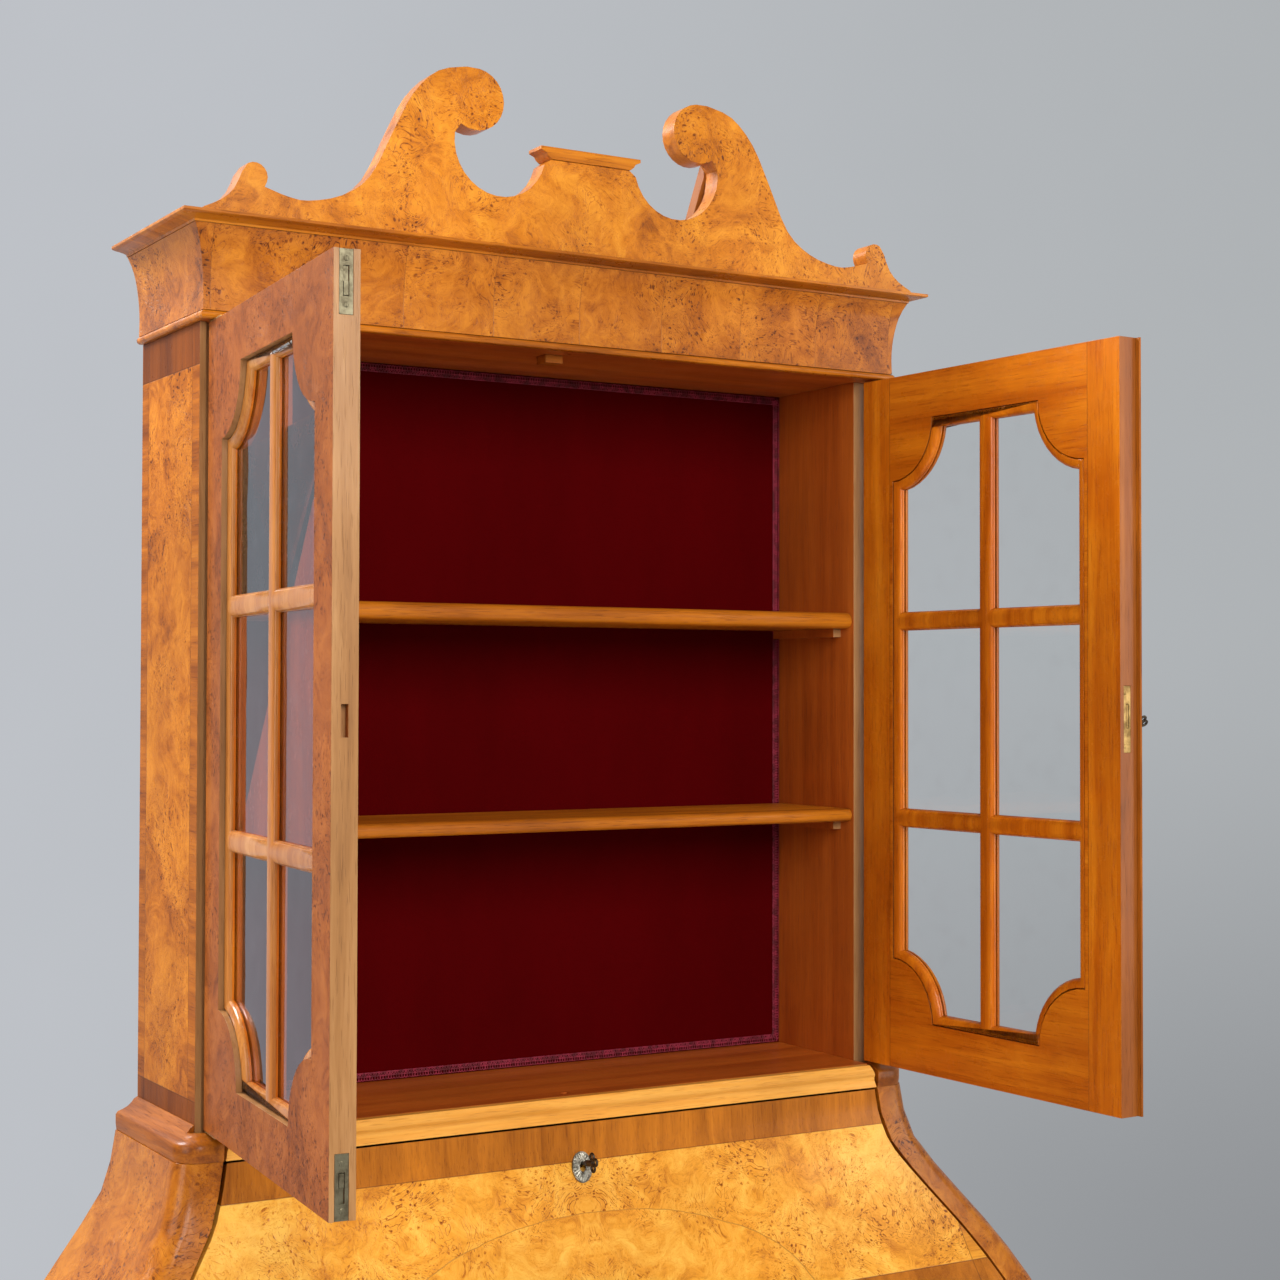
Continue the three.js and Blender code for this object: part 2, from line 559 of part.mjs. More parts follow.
function deskCase() {
  place('desk_side_left', deskSide(-1), BURL);
  place('desk_side_right', deskSide(1), BURL);
  place('corner_post_left', cornerPost(-1), BURL);
  place('corner_post_right', cornerPost(1), BURL);
  place('desk_back_board',
    betweenSides(SIDE_THICK + GAP, BASE_Z, DESK_TOP_Z - GAP, GUIDE.back + GAP, DESK_BACK, 26), PINE);
}

// ---------------------------------------------------------------- desk top and its mouldings
function deskTop() {
  const half = CASE_HALF - GAP;
  const notch = 451;
  const plan = outline([
    [-half, DESK_BACK], [-half, -1], [-half + 4, -4.5], [-notch, -4.5], [-notch, -19.7], [notch, -19.7],
    [notch, -4.5], [half - 4, -4.5], [half, -1], [half, DESK_BACK],
  ]);
  place('desk_top_board', alongZ(plan, DESK_TOP_Z, DESK_TOP_Z + 14), WALNUT);

  const front = outline([
    [-20, DESK_TOP_Z], [-31, DESK_TOP_Z], [-30, DESK_TOP_Z + 4], [-28.5, DESK_TOP_Z + 9],
    [-29.5, DESK_TOP_Z + 13],
    [-33, DESK_TOP_Z + 16.5], [-34.5, DESK_TOP_Z + 21], [-34, DESK_TOP_Z + 26], [-31.5, FLOOR_Z - GAP],
    [-20, FLOOR_Z - GAP],
  ]);
  const ends = outline([
    [-450, DESK_TOP_Z - 5], [450, DESK_TOP_Z - 5], [446, DESK_TOP_Z + 15], [434, FLOOR_Z + 5],
    [-434, FLOOR_Z + 5], [-446, DESK_TOP_Z + 15]]);
  place('front_moulding', common(alongX(front, -460, 460), alongY(ends, -60, 0)), PALE_EDGE);
  place('side_moulding_left', sideMoulding(-1), WALNUT);
  place('side_moulding_right', sideMoulding(1), WALNUT);
}

// Cove moulding along one side and round the front corner.
function sideMoulding(side) {
  const bottom = DESK_TOP_Z;
  const profile = [
    [0.3, bottom], [25.5, bottom], [26.5, bottom + 8], [26.5, bottom + 18], [24, bottom + 21.5],
    [18, bottom + 23.5],
    [12, bottom + 26.5], [7, bottom + 31], [4.5, bottom + 34.5], [0.3, bottom + 37],
  ];
  const turn = 4;
  const cornerX = CASE_HALF - turn;
  const cornerY = -5 + turn;
  const stations = [
    [0, CASE_BACK, CASE_HALF - turn], ...steps(0, 90, 6).map((a) => [a, cornerY, cornerX]),
    [90, cornerY, 451.5],
  ];
  const rings = stations.map(([degrees, y, x]) => profile.map(([out, z]) => {
    const a = THREE.MathUtils.degToRad(degrees);
    const r = turn + out;
    return new THREE.Vector3(side * (x + r * Math.cos(a)), y - r * Math.sin(a), z);
  }));
  const whole = skin(rings, profile.map(([out, z]) => new THREE.Vector2(out, z)));
  const doorWay = block(-500, 500, -60, 1, FLOOR_Z - 1, FLOOR_Z + 30);
  return cut(whole, doorWay);
}

// ---------------------------------------------------------------- writing board, fall and lopers
function writingBoard() {
  const under = BOARD_Z - BOARD_THICK;
  const nose = [
    [HINGE_Y + 0.5, BOARD_Z], [HINGE_Y + 0.5, BOARD_Z - 12.4], ...arc(HINGE_Y, BOARD_Z, 12.6, 275, 331, 4),
  ];
  const bevelEnd = HINGE_Y + BOARD_THICK / Math.tan(THREE.MathUtils.degToRad(26));
  const section = outline([...nose, [bevelEnd, under], [GUIDE.back, under], [GUIDE.back, BOARD_Z]]);
  place('writing_board', alongX(section, -BOARD_HALF, BOARD_HALF), WALNUT);
}

// Section of the fall: swelled face outside, flat face inside, and a lapped heel round the hinge line.
function fallSection() {
  const flat = 90 - FALL_SLOPE;
  const heelTop = 180 - FALL_SLOPE;
  const topZ = BOARD_Z + Math.sqrt(FALL_SWING ** 2 - (HINGE_Y - frontFace(1047)) ** 2);
  const heelZ = BOARD_Z - 9;
  const face = steps(topZ, heelZ, 20).map((z) => [frontFace(z), z]);
  const reach = Math.hypot(frontFace(topZ) - HINGE_Y, topZ - BOARD_Z);
  const topAngle = THREE.MathUtils.radToDeg(Math.atan2(topZ - BOARD_Z, frontFace(topZ) - HINGE_Y));
  return [
    ...arc(HINGE_Y, BOARD_Z, reach, flat, topAngle, 4).slice(0, -1),
    ...face,
    ...arc(HINGE_Y, BOARD_Z, KNUCKLE.outer, 195, KNUCKLE.drop, 4),
    ...arc(HINGE_Y, BOARD_Z, KNUCKLE.inner, KNUCKLE.drop, heelTop, 8),
    [HINGE_Y - GAP, BOARD_Z],
  ];
}

function fall() {
  const slab = alongX(outline(fallSection()), -640, 640);
  const ends = betweenSides(POST.wide + FALL_END_GAP, 740, DESK_TOP_Z + 5, -260, 60, 18);
  const lock = new THREE.Group();
  lock.position.set(0, frontFace(FALL_LOCK.z), FALL_LOCK.z);
  lock.rotation.x = -THREE.MathUtils.degToRad(FALL_LOCK.lean);
  lock.updateMatrix();
  desk.add(lock);
  const hole = rod(4.6, 20, 14).applyMatrix4(lock.matrix);
  place('fall_front', cut(common(slab, ends), hole), BURL);

  const plate = rod(15, 2.4, 28).scale(0.9, 1, 1.25).translate(0, -2.8, -4);
  const slot = join(rod(4.6, 12, 14).translate(0, -3, 0), block(-2, 2, -9, 3, -11, 0));
  place('fall_escutcheon', cut(plate, slot), SILVERED, lock);
  place('fall_key', key(34, 9, 90).translate(0, 8, 0), IRON, lock);
}

function lopers() {
  for (const [name, side] of [['left', -1], ['right', 1]]) {
    const near = side * LOPER.x;
    const far = side * (LOPER.x + LOPER.wide);
    const [x0, x1] = [Math.min(near, far), Math.max(near, far)];
    place(`loper_${name}`, swelledFront(LOPER.bottom, LOPER.top, LOPER.back, x0, x1, 4), WALNUT);
  }
}

// ---------------------------------------------------------------- interior gallery
function gallery() {
  const { half, front, back, top, board, shelf: shelfZ, split, outer } = GALLERY;
  const floor = BOARD_Z + GAP;
  const boards = [
    block(-half, half, front, back, floor, floor + board), block(-half, half, front, back, top - board, top),
    block(-half, half, front, back, shelfZ, shelfZ + board),
    block(-half, -half + board, front, back, floor, top), block(half - board, half, front, back, floor, top),
    ...[-split, split].map((x) => block(x - board / 2, x + board / 2, front, back, floor, top)),
    ...[-outer, outer].map((x) => block(x - board / 2, x + board / 2, front, back, shelfZ, top)),
  ];
  place('gallery', join(...boards), WALNUT);
  const bays = [
    ['left', -half + board, -split - board / 2], ['middle', -split + board / 2, split - board / 2],
    ['right', split + board / 2, half - board],
  ];
  for (const [name, x0, x1] of bays) {
    const drawer = smallDrawer(x0 + 0.6, x1 - 0.6, floor + board + 0.5, shelfZ - 0.6);
    place(`gallery_drawer_${name}`, drawer, WALNUT);
  }
}

// An open-topped box with a turned knob on its front.
function smallDrawer(x0, x1, z0, z1) {
  const { front, back } = GALLERY;
  const shell = block(x0, x1, front + 1, back - 4, z0, z1);
  const inside = block(x0 + 6, x1 - 6, front + 11, back - 10, z0 + 5, z1 + 5);
  const knob = new THREE.LatheGeometry([[0, 0], [3, 0], [3, 5], [6.5, 8], [7.5, 11], [5, 14], [0, 15]]
    .map(([r, h]) => new THREE.Vector2(r, h)), 16);
  knob.rotateX(Math.PI / 2).translate((x0 + x1) / 2, front + 1.5, (z0 + z1) / 2);
  return join(cut(shell, inside), knob);
}

// ---------------------------------------------------------------- drawers
function drawerCase() {
  const levels = [
    [LOPER.bottom - GAP - 3, LOPER.top + 2], [684 + GAP * 2, 700 - GAP * 2],
    ...DRAWERS.slice(0, -1).map(({ bottom }) => [bottom - RAIL, bottom - 1]), [BASE_Z, BASE_Z + RAIL + 3],
  ];
  const [frieze, ...boards] = levels;
  const rails = [frieze, ...boards].map(([z0, z1], i) => {
    const inner = i === 0 ? -170 : -70;
    const width = betweenSides(POST.wide + 1, z0 - 1, z1 + 1, -300, 250, 4);
    return common(swelledFront(z0, z1, inner, -660, 660, 4), width);
  });
  const panels = boards.map(([z0, z1]) => block(-GUIDE.x - 2, GUIDE.x + 2, -75, GUIDE.back, z0, z1));
  const guides = [-1, 1].map((s) => {
    const near = s * GUIDE.x;
    const far = s * (GUIDE.x + GUIDE.thick);
    return block(Math.min(near, far), Math.max(near, far), GUIDE.front, GUIDE.back, BASE_Z, LOPER.top + 2);
  });
  const cheeks = [-1, 1].map((s) => {
    const near = s * (GUIDE.x + GUIDE.thick - 1);
    const far = s * (halfWidth(700) - POST.wide - 4);
    return block(Math.min(near, far), Math.max(near, far), -186, GUIDE.back, 684 + GAP * 2, 700 - GAP * 2);
  });
  const top = block(-GUIDE.x - 2, GUIDE.x + 2, -176, -160, 690, LOPER.top + 2);
  const posts = [-1, 1].map((s) => {
    const x = s * (GUIDE.x + GUIDE.thick / 2);
    return block(x - 4, x + 4, HINGE_Y + 56, GUIDE.back, LOPER.top, BOARD_Z - BOARD_THICK - GAP);
  });
  const slots = [-1, 1].map((s) => {
    const near = s * (LOPER.x - 0.6);
    const far = s * (LOPER.x + LOPER.wide + 0.6);
    return block(Math.min(near, far), Math.max(near, far), -260, 260, LOPER.bottom - 0.6, LOPER.top + 0.6);
  });
  const frame = join(...rails, ...panels, ...guides, ...cheeks, top, ...posts);
  place('drawer_case', cut(frame, ...slots), WALNUT);
}

function longDrawer({ bottom, top, inner }, number) {
  const z0 = bottom + 1;
  const z1 = top - 1;
  const front = common(swelledFront(z0, z1, inner, -660, 660),
    betweenSides(POST.wide + 1.2, bottom - 2, top + 2, -300, 250, 10));
  const back = 176;
  const box = block(-DRAWER_HALF, DRAWER_HALF, inner - 2, back, z0, z1 - 12);
  const inside = block(-DRAWER_HALF + 12, DRAWER_HALF - 12, inner, back - 12, z0 + 8, z1 + 5);
  const knobs = [-1, 1].map((s) => pullKnob(s * 330, (z0 + z1) / 2));
  place(`long_drawer_${number}`, join(cut(join(front, box), inside), ...knobs), BURL);
}

// A turned pull standing square to the swelled front.
function pullKnob(x, z) {
  const profile = [[0, 0], [15, 0], [15, 5], [6, 8], [6, 15], [13, 19], [16, 25], [12, 31], [0, 33]];
  const knob = new THREE.LatheGeometry(profile.map(([r, h]) => new THREE.Vector2(r, h)), 18);
  return knob.rotateX(Math.PI / 2).translate(x, frontFace(z) + 3, z);
}

// ---------------------------------------------------------------- base and feet
function basePlinth() {
  const z1 = BASE_Z - GAP;
  const z0 = FOOT.high;
  const half = halfWidth(BASE_Z) + 12;
  const front = frontFace(BASE_Z) - 12;
  const opening = block(-half + 60, half - 60, front + 60, DESK_BACK - 60, 0, 200);
  const ring = cut(block(-half, half, front, DESK_BACK, z0, z1), opening);
  const feet = [[-1, 1], [1, 1], [-1, -1], [1, -1]].map(([sx, sy]) => bracketFoot(sx, sy, half, front));
  place('base_plinth', join(ring, ...feet), WALNUT);
}

// A bracket foot: two shaped cheeks meeting at the corner, closed above by the ring.
function bracketFoot(sx, sy, half, front) {
  const thick = 26;
  const scroll = (length) => outline([
    [0, 0], [46, 0], [54, 22], [70, 40], [96, 52], [124, 62], [length, FOOT.high + 1], [0, FOOT.high + 1],
  ]);
  const faceY = sy > 0 ? front + 8 : DESK_BACK - thick;
  const faceX = half - 8;
  const across = alongY(scroll(FOOT.wide), faceY, faceY + thick);
  const along = alongX(scroll(FOOT.wide), faceX - thick, faceX);
  const first = sx > 0
    ? across.rotateZ(Math.PI).translate(faceX, 2 * faceY + thick, 0)
    : across.translate(-faceX, 0, 0);
  const second = sy > 0
    ? along.translate(0, front + 8, 0)
    : along.rotateZ(Math.PI).translate(2 * faceX - thick, DESK_BACK, 0);
  return join(first, sx > 0 ? second : second.translate(-2 * faceX + thick, 0, 0));
}

// ---------------------------------------------------------------- assembly
upperCabinet();
cornice();
pediment();
leftDoor();
rightDoor();
deskTop();
deskCase();
writingBoard();
fall();
lopers();
gallery();
drawerCase();
DRAWERS.forEach((drawer, i) => longDrawer(drawer, i + 1));
basePlinth();

const footprint = new THREE.Box3().setFromObject(desk);
const middle = footprint.getCenter(new THREE.Vector3());
desk.position.set(-middle.x, -middle.y, -footprint.min.z);

export default desk;
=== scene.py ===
"""Looks for the secretary desk: burl veneers, glazed doors, velvet lining, metalwork, studio."""
import json
import math
import random

import bmesh
import bpy
from mathutils import Matrix, Vector


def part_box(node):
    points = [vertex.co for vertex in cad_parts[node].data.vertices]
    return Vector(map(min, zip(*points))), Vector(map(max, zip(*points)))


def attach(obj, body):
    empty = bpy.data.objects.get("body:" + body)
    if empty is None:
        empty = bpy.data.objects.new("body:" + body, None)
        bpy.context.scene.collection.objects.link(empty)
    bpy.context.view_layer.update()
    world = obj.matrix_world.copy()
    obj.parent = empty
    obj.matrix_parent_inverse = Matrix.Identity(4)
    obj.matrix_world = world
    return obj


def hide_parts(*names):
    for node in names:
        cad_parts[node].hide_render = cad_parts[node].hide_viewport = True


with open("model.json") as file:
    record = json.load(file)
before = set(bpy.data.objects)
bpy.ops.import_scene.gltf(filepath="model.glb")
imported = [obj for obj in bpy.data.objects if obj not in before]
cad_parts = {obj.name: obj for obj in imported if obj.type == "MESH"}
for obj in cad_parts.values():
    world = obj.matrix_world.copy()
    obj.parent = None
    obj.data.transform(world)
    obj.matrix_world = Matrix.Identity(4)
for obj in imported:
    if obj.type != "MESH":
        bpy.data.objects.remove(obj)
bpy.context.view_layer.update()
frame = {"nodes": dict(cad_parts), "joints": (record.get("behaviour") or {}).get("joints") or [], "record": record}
MM = 0.001
RECORD = frame["record"]
NODES = frame["nodes"]
BODY_OF = {n: b for b, names in RECORD["behaviour"]["bodies"].items() for n in names}
JOINTS = {j["name"]: j for j in frame["joints"]}


# ------------------------------------------------------------------ node writing
class Sock:
    """A shader socket that takes plain arithmetic."""

    def __init__(self, net, out):
        self.net, self.out = net, out

    def math(self, op, *rest, clamp=False):
        n = self.net.new("ShaderNodeMath", operation=op, use_clamp=clamp)
        for i, v in enumerate((self, *rest)):
            self.net.feed(n.inputs[i], v)
        return Sock(self.net, n.outputs[0])

    def __add__(self, o):
        return self.math("ADD", o)

    def __sub__(self, o):
        return self.math("SUBTRACT", o)

    def __mul__(self, o):
        return self.math("MULTIPLY", o)

    def __truediv__(self, o):
        return self.math("DIVIDE", o)

    def over(self, edge, soft=0.001):
        """0 below edge and 1 above it, over a width of soft."""
        n = self.net.new("ShaderNodeMapRange", interpolation_type="SMOOTHSTEP")
        for name, v in (("Value", self), ("From Min", edge - soft / 2), ("From Max", edge + soft / 2)):
            self.net.feed(n.inputs[name], v)
        return Sock(self.net, n.outputs[0])

    def near(self, centre, half, soft=0.001):
        """1 within half of centre."""
        off = (self - centre).math("ABSOLUTE")
        return off.over(half, soft) * -1.0 + 1.0


class Net:
    """One material and its nodes."""

    def __init__(self, name):
        self.mat = bpy.data.materials.new(name)
        self.mat.use_nodes = True
        self.tree = self.mat.node_tree
        self.tree.nodes.clear()

    def new(self, kind, **props):
        n = self.tree.nodes.new(kind)
        for k, v in props.items():
            setattr(n, k, v)
        return n

    def feed(self, inp, v):
        if isinstance(v, Sock):
            self.tree.links.new(v.out, inp)
        elif isinstance(v, (tuple, list)):
            inp.default_value = tuple(v) + ((1.0,) if len(inp.default_value) > len(v) else ())
        else:
            inp.default_value = v

    def call(self, kind, inputs, out=0, **props):
        n = self.new(kind, **props)
        for k, v in inputs.items():
            self.feed(n.inputs[k], v)
        return Sock(self, n.outputs[out])

    def place(self, origin=(0, 0, 0), turn=0.0):
        here = self.call("ShaderNodeTexCoord", {}, out="Object")
        return self.call("ShaderNodeMapping", {"Vector": here, "Location": tuple(origin),
                                               "Rotation": (0, 0, turn)}, vector_type="TEXTURE")

    def split(self, v):
        n = self.new("ShaderNodeSeparateXYZ")
        self.feed(n.inputs[0], v)
        return [Sock(self, o) for o in n.outputs]

    def vec(self, x, y, z):
        return self.call("ShaderNodeCombineXYZ", {"X": x, "Y": y, "Z": z})

    def noise(self, v, scale, detail=4.0, rough=0.55, warp=0.0, out=0):
        return self.call("ShaderNodeTexNoise", {"Vector": v, "Scale": scale, "Detail": detail,
                                                "Roughness": rough, "Distortion": warp}, out=out)

    def mix(self, fac, a, b, blend="MIX"):
        n = self.new("ShaderNodeMix", data_type="RGBA", blend_type=blend)
        self.feed(n.inputs[0], fac)
        self.feed(n.inputs[6], a)
        self.feed(n.inputs[7], b)
        return Sock(self, n.outputs[2])

    def ramp(self, fac, stops):
        n = self.new("ShaderNodeValToRGB")
        self.feed(n.inputs[0], fac)
        els = n.color_ramp.elements
        while len(els) < len(stops):
            els.new(0.5)
        for e, (at, col) in zip(els, stops):
            e.position = at
            e.color = (*col, 1.0)
        return Sock(self, n.outputs[0])

    def shade(self, color, rough=0.4, height=None, depth=0.0003, edge=0.0008, **more):
        """Principled surface with softened edges, bump and extra inputs by name."""
        p = self.new("ShaderNodeBsdfPrincipled")
        self.feed(p.inputs["Base Color"], color)
        self.feed(p.inputs["Roughness"], rough)
        for k, v in more.items():
            self.feed(p.inputs[k.replace("_", " ")], v)
        normal = self.call("ShaderNodeBevel", {"Radius": edge}, samples=4) if edge else None
        if height is not None:
            inputs = {"Height": height, "Strength": 1.0, "Distance": depth}
            if normal:
                inputs["Normal"] = normal
            normal = self.call("ShaderNodeBump", inputs)
        if normal:
            self.feed(p.inputs["Normal"], normal)
        out = self.new("ShaderNodeOutputMaterial")
        self.tree.links.new(p.outputs[0], out.inputs[0])
        return self.mat


# ------------------------------------------------------------------ timber
GOLD = [(0.20, (0.068, 0.0115, 0.000624)), (0.42, (0.24, 0.0576, 0.00312)), (0.58, (0.424, 0.119, 0.00624)),
        (0.80, (0.608, 0.209, 0.0156))]
BRIGHT = [(0.18, (0.163, 0.0357, 0.002)), (0.40, (0.528, 0.169, 0.012)), (0.58, (0.806, 0.338, 0.03)),
          (0.80, (0.941, 0.517, 0.085))]
HONEY = [(0.20, (0.112, 0.0216, 0.001)), (0.42, (0.361, 0.0963, 0.0045)), (0.58, (0.585, 0.181, 0.008)),
         (0.80, (0.774, 0.3, 0.0225))]
RED = [(0.20, (0.0612, 0.0115, 0.00156)), (0.42, (0.17, 0.0371, 0.00468)), (0.60, (0.299, 0.0755, 0.0104)),
       (0.82, (0.408, 0.122, 0.0208))]
ORANGE = [(0.15, (0.20, 0.028, 0.001)), (0.45, (0.53, 0.118, 0.0035)), (0.65, (0.74, 0.215, 0.008)),
          (0.85, (0.92, 0.36, 0.025))]
INSIDE = [(0.15, (0.16, 0.030, 0.003)), (0.45, (0.42, 0.085, 0.009)), (0.65, (0.56, 0.135, 0.015)),
          (0.85, (0.70, 0.21, 0.030))]
EDGE = [(0.15, (0.14, 0.055, 0.018)), (0.45, (0.34, 0.16, 0.055)), (0.65, (0.46, 0.24, 0.095)),
        (0.85, (0.60, 0.35, 0.16))]
BAR = [(0.15, (0.24, 0.055, 0.008)), (0.45, (0.46, 0.15, 0.025)), (0.65, (0.62, 0.25, 0.055)),
       (0.85, (0.76, 0.38, 0.12))]
TAN = [(0.15, (0.12, 0.030, 0.004)), (0.45, (0.28, 0.075, 0.010)), (0.65, (0.38, 0.115, 0.016)),
       (0.85, (0.50, 0.18, 0.035))]
PALE = [(0.15, (0.40, 0.15, 0.02)), (0.45, (0.78, 0.34, 0.05)), (0.65, (0.92, 0.47, 0.09)),
        (0.85, (1.00, 0.60, 0.16))]
RAW = [(0.15, (0.20, 0.10, 0.035)), (0.45, (0.38, 0.21, 0.08)), (0.65, (0.48, 0.29, 0.12)),
       (0.85, (0.56, 0.37, 0.18))]


def burl_figure(net, p, offset=None):
    """Swirled burl: (tone, height)."""
    if offset is not None:
        p = net.call("ShaderNodeVectorMath", {0: p, 1: offset}, operation="ADD")
    push = net.call("ShaderNodeVectorMath", {0: net.noise(p, 7.0, 3.0, out=1), 1: (0.09, 0.09, 0.09)},
                    operation="MULTIPLY")
    q = net.call("ShaderNodeVectorMath", {0: p, 1: push}, operation="ADD")
    broad = net.noise(q, 8.0, 4.0, 0.6, 0.8)
    cloud = net.noise(q, 30.0, 7.0, 0.72, 1.3)
    patches = net.noise(p, 11.0, 3.0).over(0.5, 0.25)
    veins = (net.noise(q, 13.0, 4.0, 0.62, 1.9) * 46.0).math("SINE").math("ABSOLUTE").over(0.16, 0.32)
    hairs = (net.noise(q, 46.0, 3.0, 0.6, 2.4) * 15.0).math("SINE").math("ABSOLUTE").over(0.14, 0.28)
    specks = net.call("ShaderNodeTexVoronoi", {"Vector": q, "Scale": 120.0}).over(0.20, 0.14)
    dark = (veins * -1.0 + 1.0) * (patches * 0.30 + 0.07) + (hairs * -1.0 + 1.0) * 0.10
    dark = dark + (specks * -1.0 + 1.0) * patches * 0.34
    tone = (broad - 0.5) * 0.75 + (cloud - 0.5) * 0.80 + 0.63 - dark
    return tone, tone + net.noise(p, 900.0, 2.0) * 0.25


def straight_figure(net, p, axis, coarse=1.0):
    """Straight grain along axis 0, 1 or 2: (tone, height)."""
    parts = net.split(p)
    wander = net.noise(p, 3.0 * coarse, 2.0) * 0.03
    slow = [s * (0.05 if i == axis else 1.0) + wander for i, s in enumerate(parts)]
    fast = [s * (0.035 if i == axis else 1.0) for i, s in enumerate(parts)]
    rings = net.noise(net.vec(*slow), 38.0 * coarse, 4.0, 0.6, 0.5)
    fibre = net.noise(net.vec(*fast), 420.0, 3.0, 0.6)
    pore = net.noise(net.vec(*fast), 900.0, 1.0).over(0.66, 0.05)
    drift = net.noise(p, 5.0, 2.0)
    tone = rings * 0.75 + fibre * 0.22 + drift * 0.22 - pore * 0.10 - 0.08
    return tone, tone - pore * 0.5


def polished(net, tone, height, stops, gloss=0.3, coat=0.35, lines=None, shine=0.2):
    """French-polished wood; lines is 1 on veneer joints."""
    color = net.ramp(tone, stops)
    here = net.place()
    grime = net.noise(here, 4.0, 5.0, 0.6)
    color = net.mix(grime.over(0.5, 0.5) * 0.22, color, (0.10, 0.035, 0.008))
    if lines is not None:
        color = net.mix(lines * 0.55, color, (0.07, 0.022, 0.006))
        height = height - lines * 0.5
    rough = net.noise(here, 26.0, 5.0, 0.65) * 0.22 + (gloss - 0.1)
    return net.shade(color, rough, height, Coat_Weight=coat * shine * 1.6, Coat_Roughness=0.12,
                     Specular_IOR_Level=shine)


def burl(name, stops, gloss=0.3, leaf=None, mirror=None, shine=0.2):
    """Burl veneer in the row frame. leaf cuts it into sheets that wide along x; mirror book-matches at x = 0."""
    net = Net(name)
    p = net.place()
    x, y, z = net.split(p)
    lines = None
    if mirror:
        p = net.vec(x.math("ABSOLUTE"), y, z)
        lines = x.near(0.0, 0.0006, 0.0006)
    offset = None
    if leaf:
        cell = (x / leaf).math("FLOOR")
        offset = net.vec(cell * 3.7, cell * 1.3, cell * 5.1)
        within = (x / leaf).math("FRACT")
        lines = within.near(0.0, 0.0005 / leaf, 0.0006 / leaf)
    tone, height = burl_figure(net, p, offset)
    if leaf:
        shift = net.call("ShaderNodeTexWhiteNoise", {"Vector": offset})
        tone = tone + shift * 0.09 - 0.04
    return polished(net, tone, height, stops, gloss, lines=lines, shine=shine)


def banded(name, stops, across, low, high, band, level, gloss=0.3, curved=False, shine=0.2):
    """A burl field with crossbanded borders. across is the second axis; the band and the panel are in metres."""
    net = Net(name)
    p = net.place()
    parts = net.split(p)
    a, z = parts[across], parts[2]
    ends = (z - (low[1] + high[1]) / 2).math("ABSOLUTE") - ((high[1] - low[1]) / 2 - level)
    sides = (a - (low[0] + high[0]) / 2).math("ABSOLUTE") - ((high[0] - low[0]) / 2 - band)
    field_x, field_z = a, z
    lines = ends.near(0.0, 0.0006, 0.0006).math("MAXIMUM", sides.near(0.0, 0.0006, 0.0006))
    offset = None
    if curved:
        field_x = (a * 1.0).math("ABSOLUTE")
        ragged = net.noise(p, 14.0, 3.0) * 0.10
        oval = (field_x / 0.30).math("POWER", 2.0) + ((z - low[1] - 0.03) / 0.13).math("POWER", 2.0) + ragged
        inside = oval.over(1.0, 0.01)
        offset = net.vec(inside * 2.0, 0.0, inside * 3.0)
        rim = oval.near(1.0, 0.006, 0.008) * 0.7
        field = (ends.over(0.0, 0.001) * -1.0 + 1.0) * (sides.over(0.0, 0.001) * -1.0 + 1.0)
        lines = lines.math("MAXIMUM", rim * field)
    v = net.vec(field_x, parts[1], field_z) if curved else p
    tone, height = burl_figure(net, v, offset)
    up, up_h = straight_figure(net, p, 2)
    flat, flat_h = straight_figure(net, p, across)
    in_ends, in_sides = ends.over(0.0, 0.0008), sides.over(0.0, 0.0008)
    def blend(f, g, m):
        return f + (g - f) * m
    step = (a / 0.11).math("FLOOR")
    shade = net.call("ShaderNodeTexWhiteNoise", {"Vector": net.vec(step, 0.0, 0.0)}) * 0.10
    band_tone = (up - 0.55) * 0.50 + 0.33 + shade
    tone = blend(blend(tone, flat, in_sides), band_tone, in_ends)
    height = blend(blend(height, flat_h, in_sides), up_h, in_ends)
    return polished(net, tone, height, stops, gloss, lines=lines, shine=shine)


def solid(name, stops, axis, gloss=0.35, coarse=1.0, origin=(0, 0, 0), turn=0.0, coat=0.25):
    net = Net(name)
    p = net.place(origin, turn)
    tone, height = straight_figure(net, p, axis, coarse)
    return polished(net, tone, height, stops, gloss, coat)


def joined_frame(name, stops, origin, turn, stile, width):
    """The solid back of a door: upright stiles with rails between them."""
    net = Net(name)
    p = net.place(origin, turn)
    u = net.split(p)[0].math("ABSOLUTE")
    up, up_h = straight_figure(net, p, 2, 0.8)
    flat, flat_h = straight_figure(net, p, 0, 0.8)
    on_stile = (u - width / 2).math("ABSOLUTE").over(width / 2 - stile, 0.0006)
    joint = (u - width / 2).math("ABSOLUTE").near(width / 2 - stile, 0.0005, 0.0006)
    tone = flat + (up - flat) * on_stile
    height = flat_h + (up_h - flat_h) * on_stile
    patch = net.noise(p, 9.0, 3.0, 0.6, 0.6)
    return polished(net, tone + patch * 0.25 - 0.12, height, stops, 0.26, 0.5, lines=joint)


def metal(name, base, dark, gloss, rub=60.0):
    net = Net(name)
    p = net.place()
    spots = net.noise(p, rub, 6.0, 0.7)
    fine = net.noise(p, 700.0, 3.0, 0.6)
    color = net.mix(spots.over(0.52, 0.3), base, dark)
    return net.shade(color, spots * 0.35 + (gloss - 0.1), fine * 0.4 + spots, 0.0002, 0.0003, Metallic=1.0)


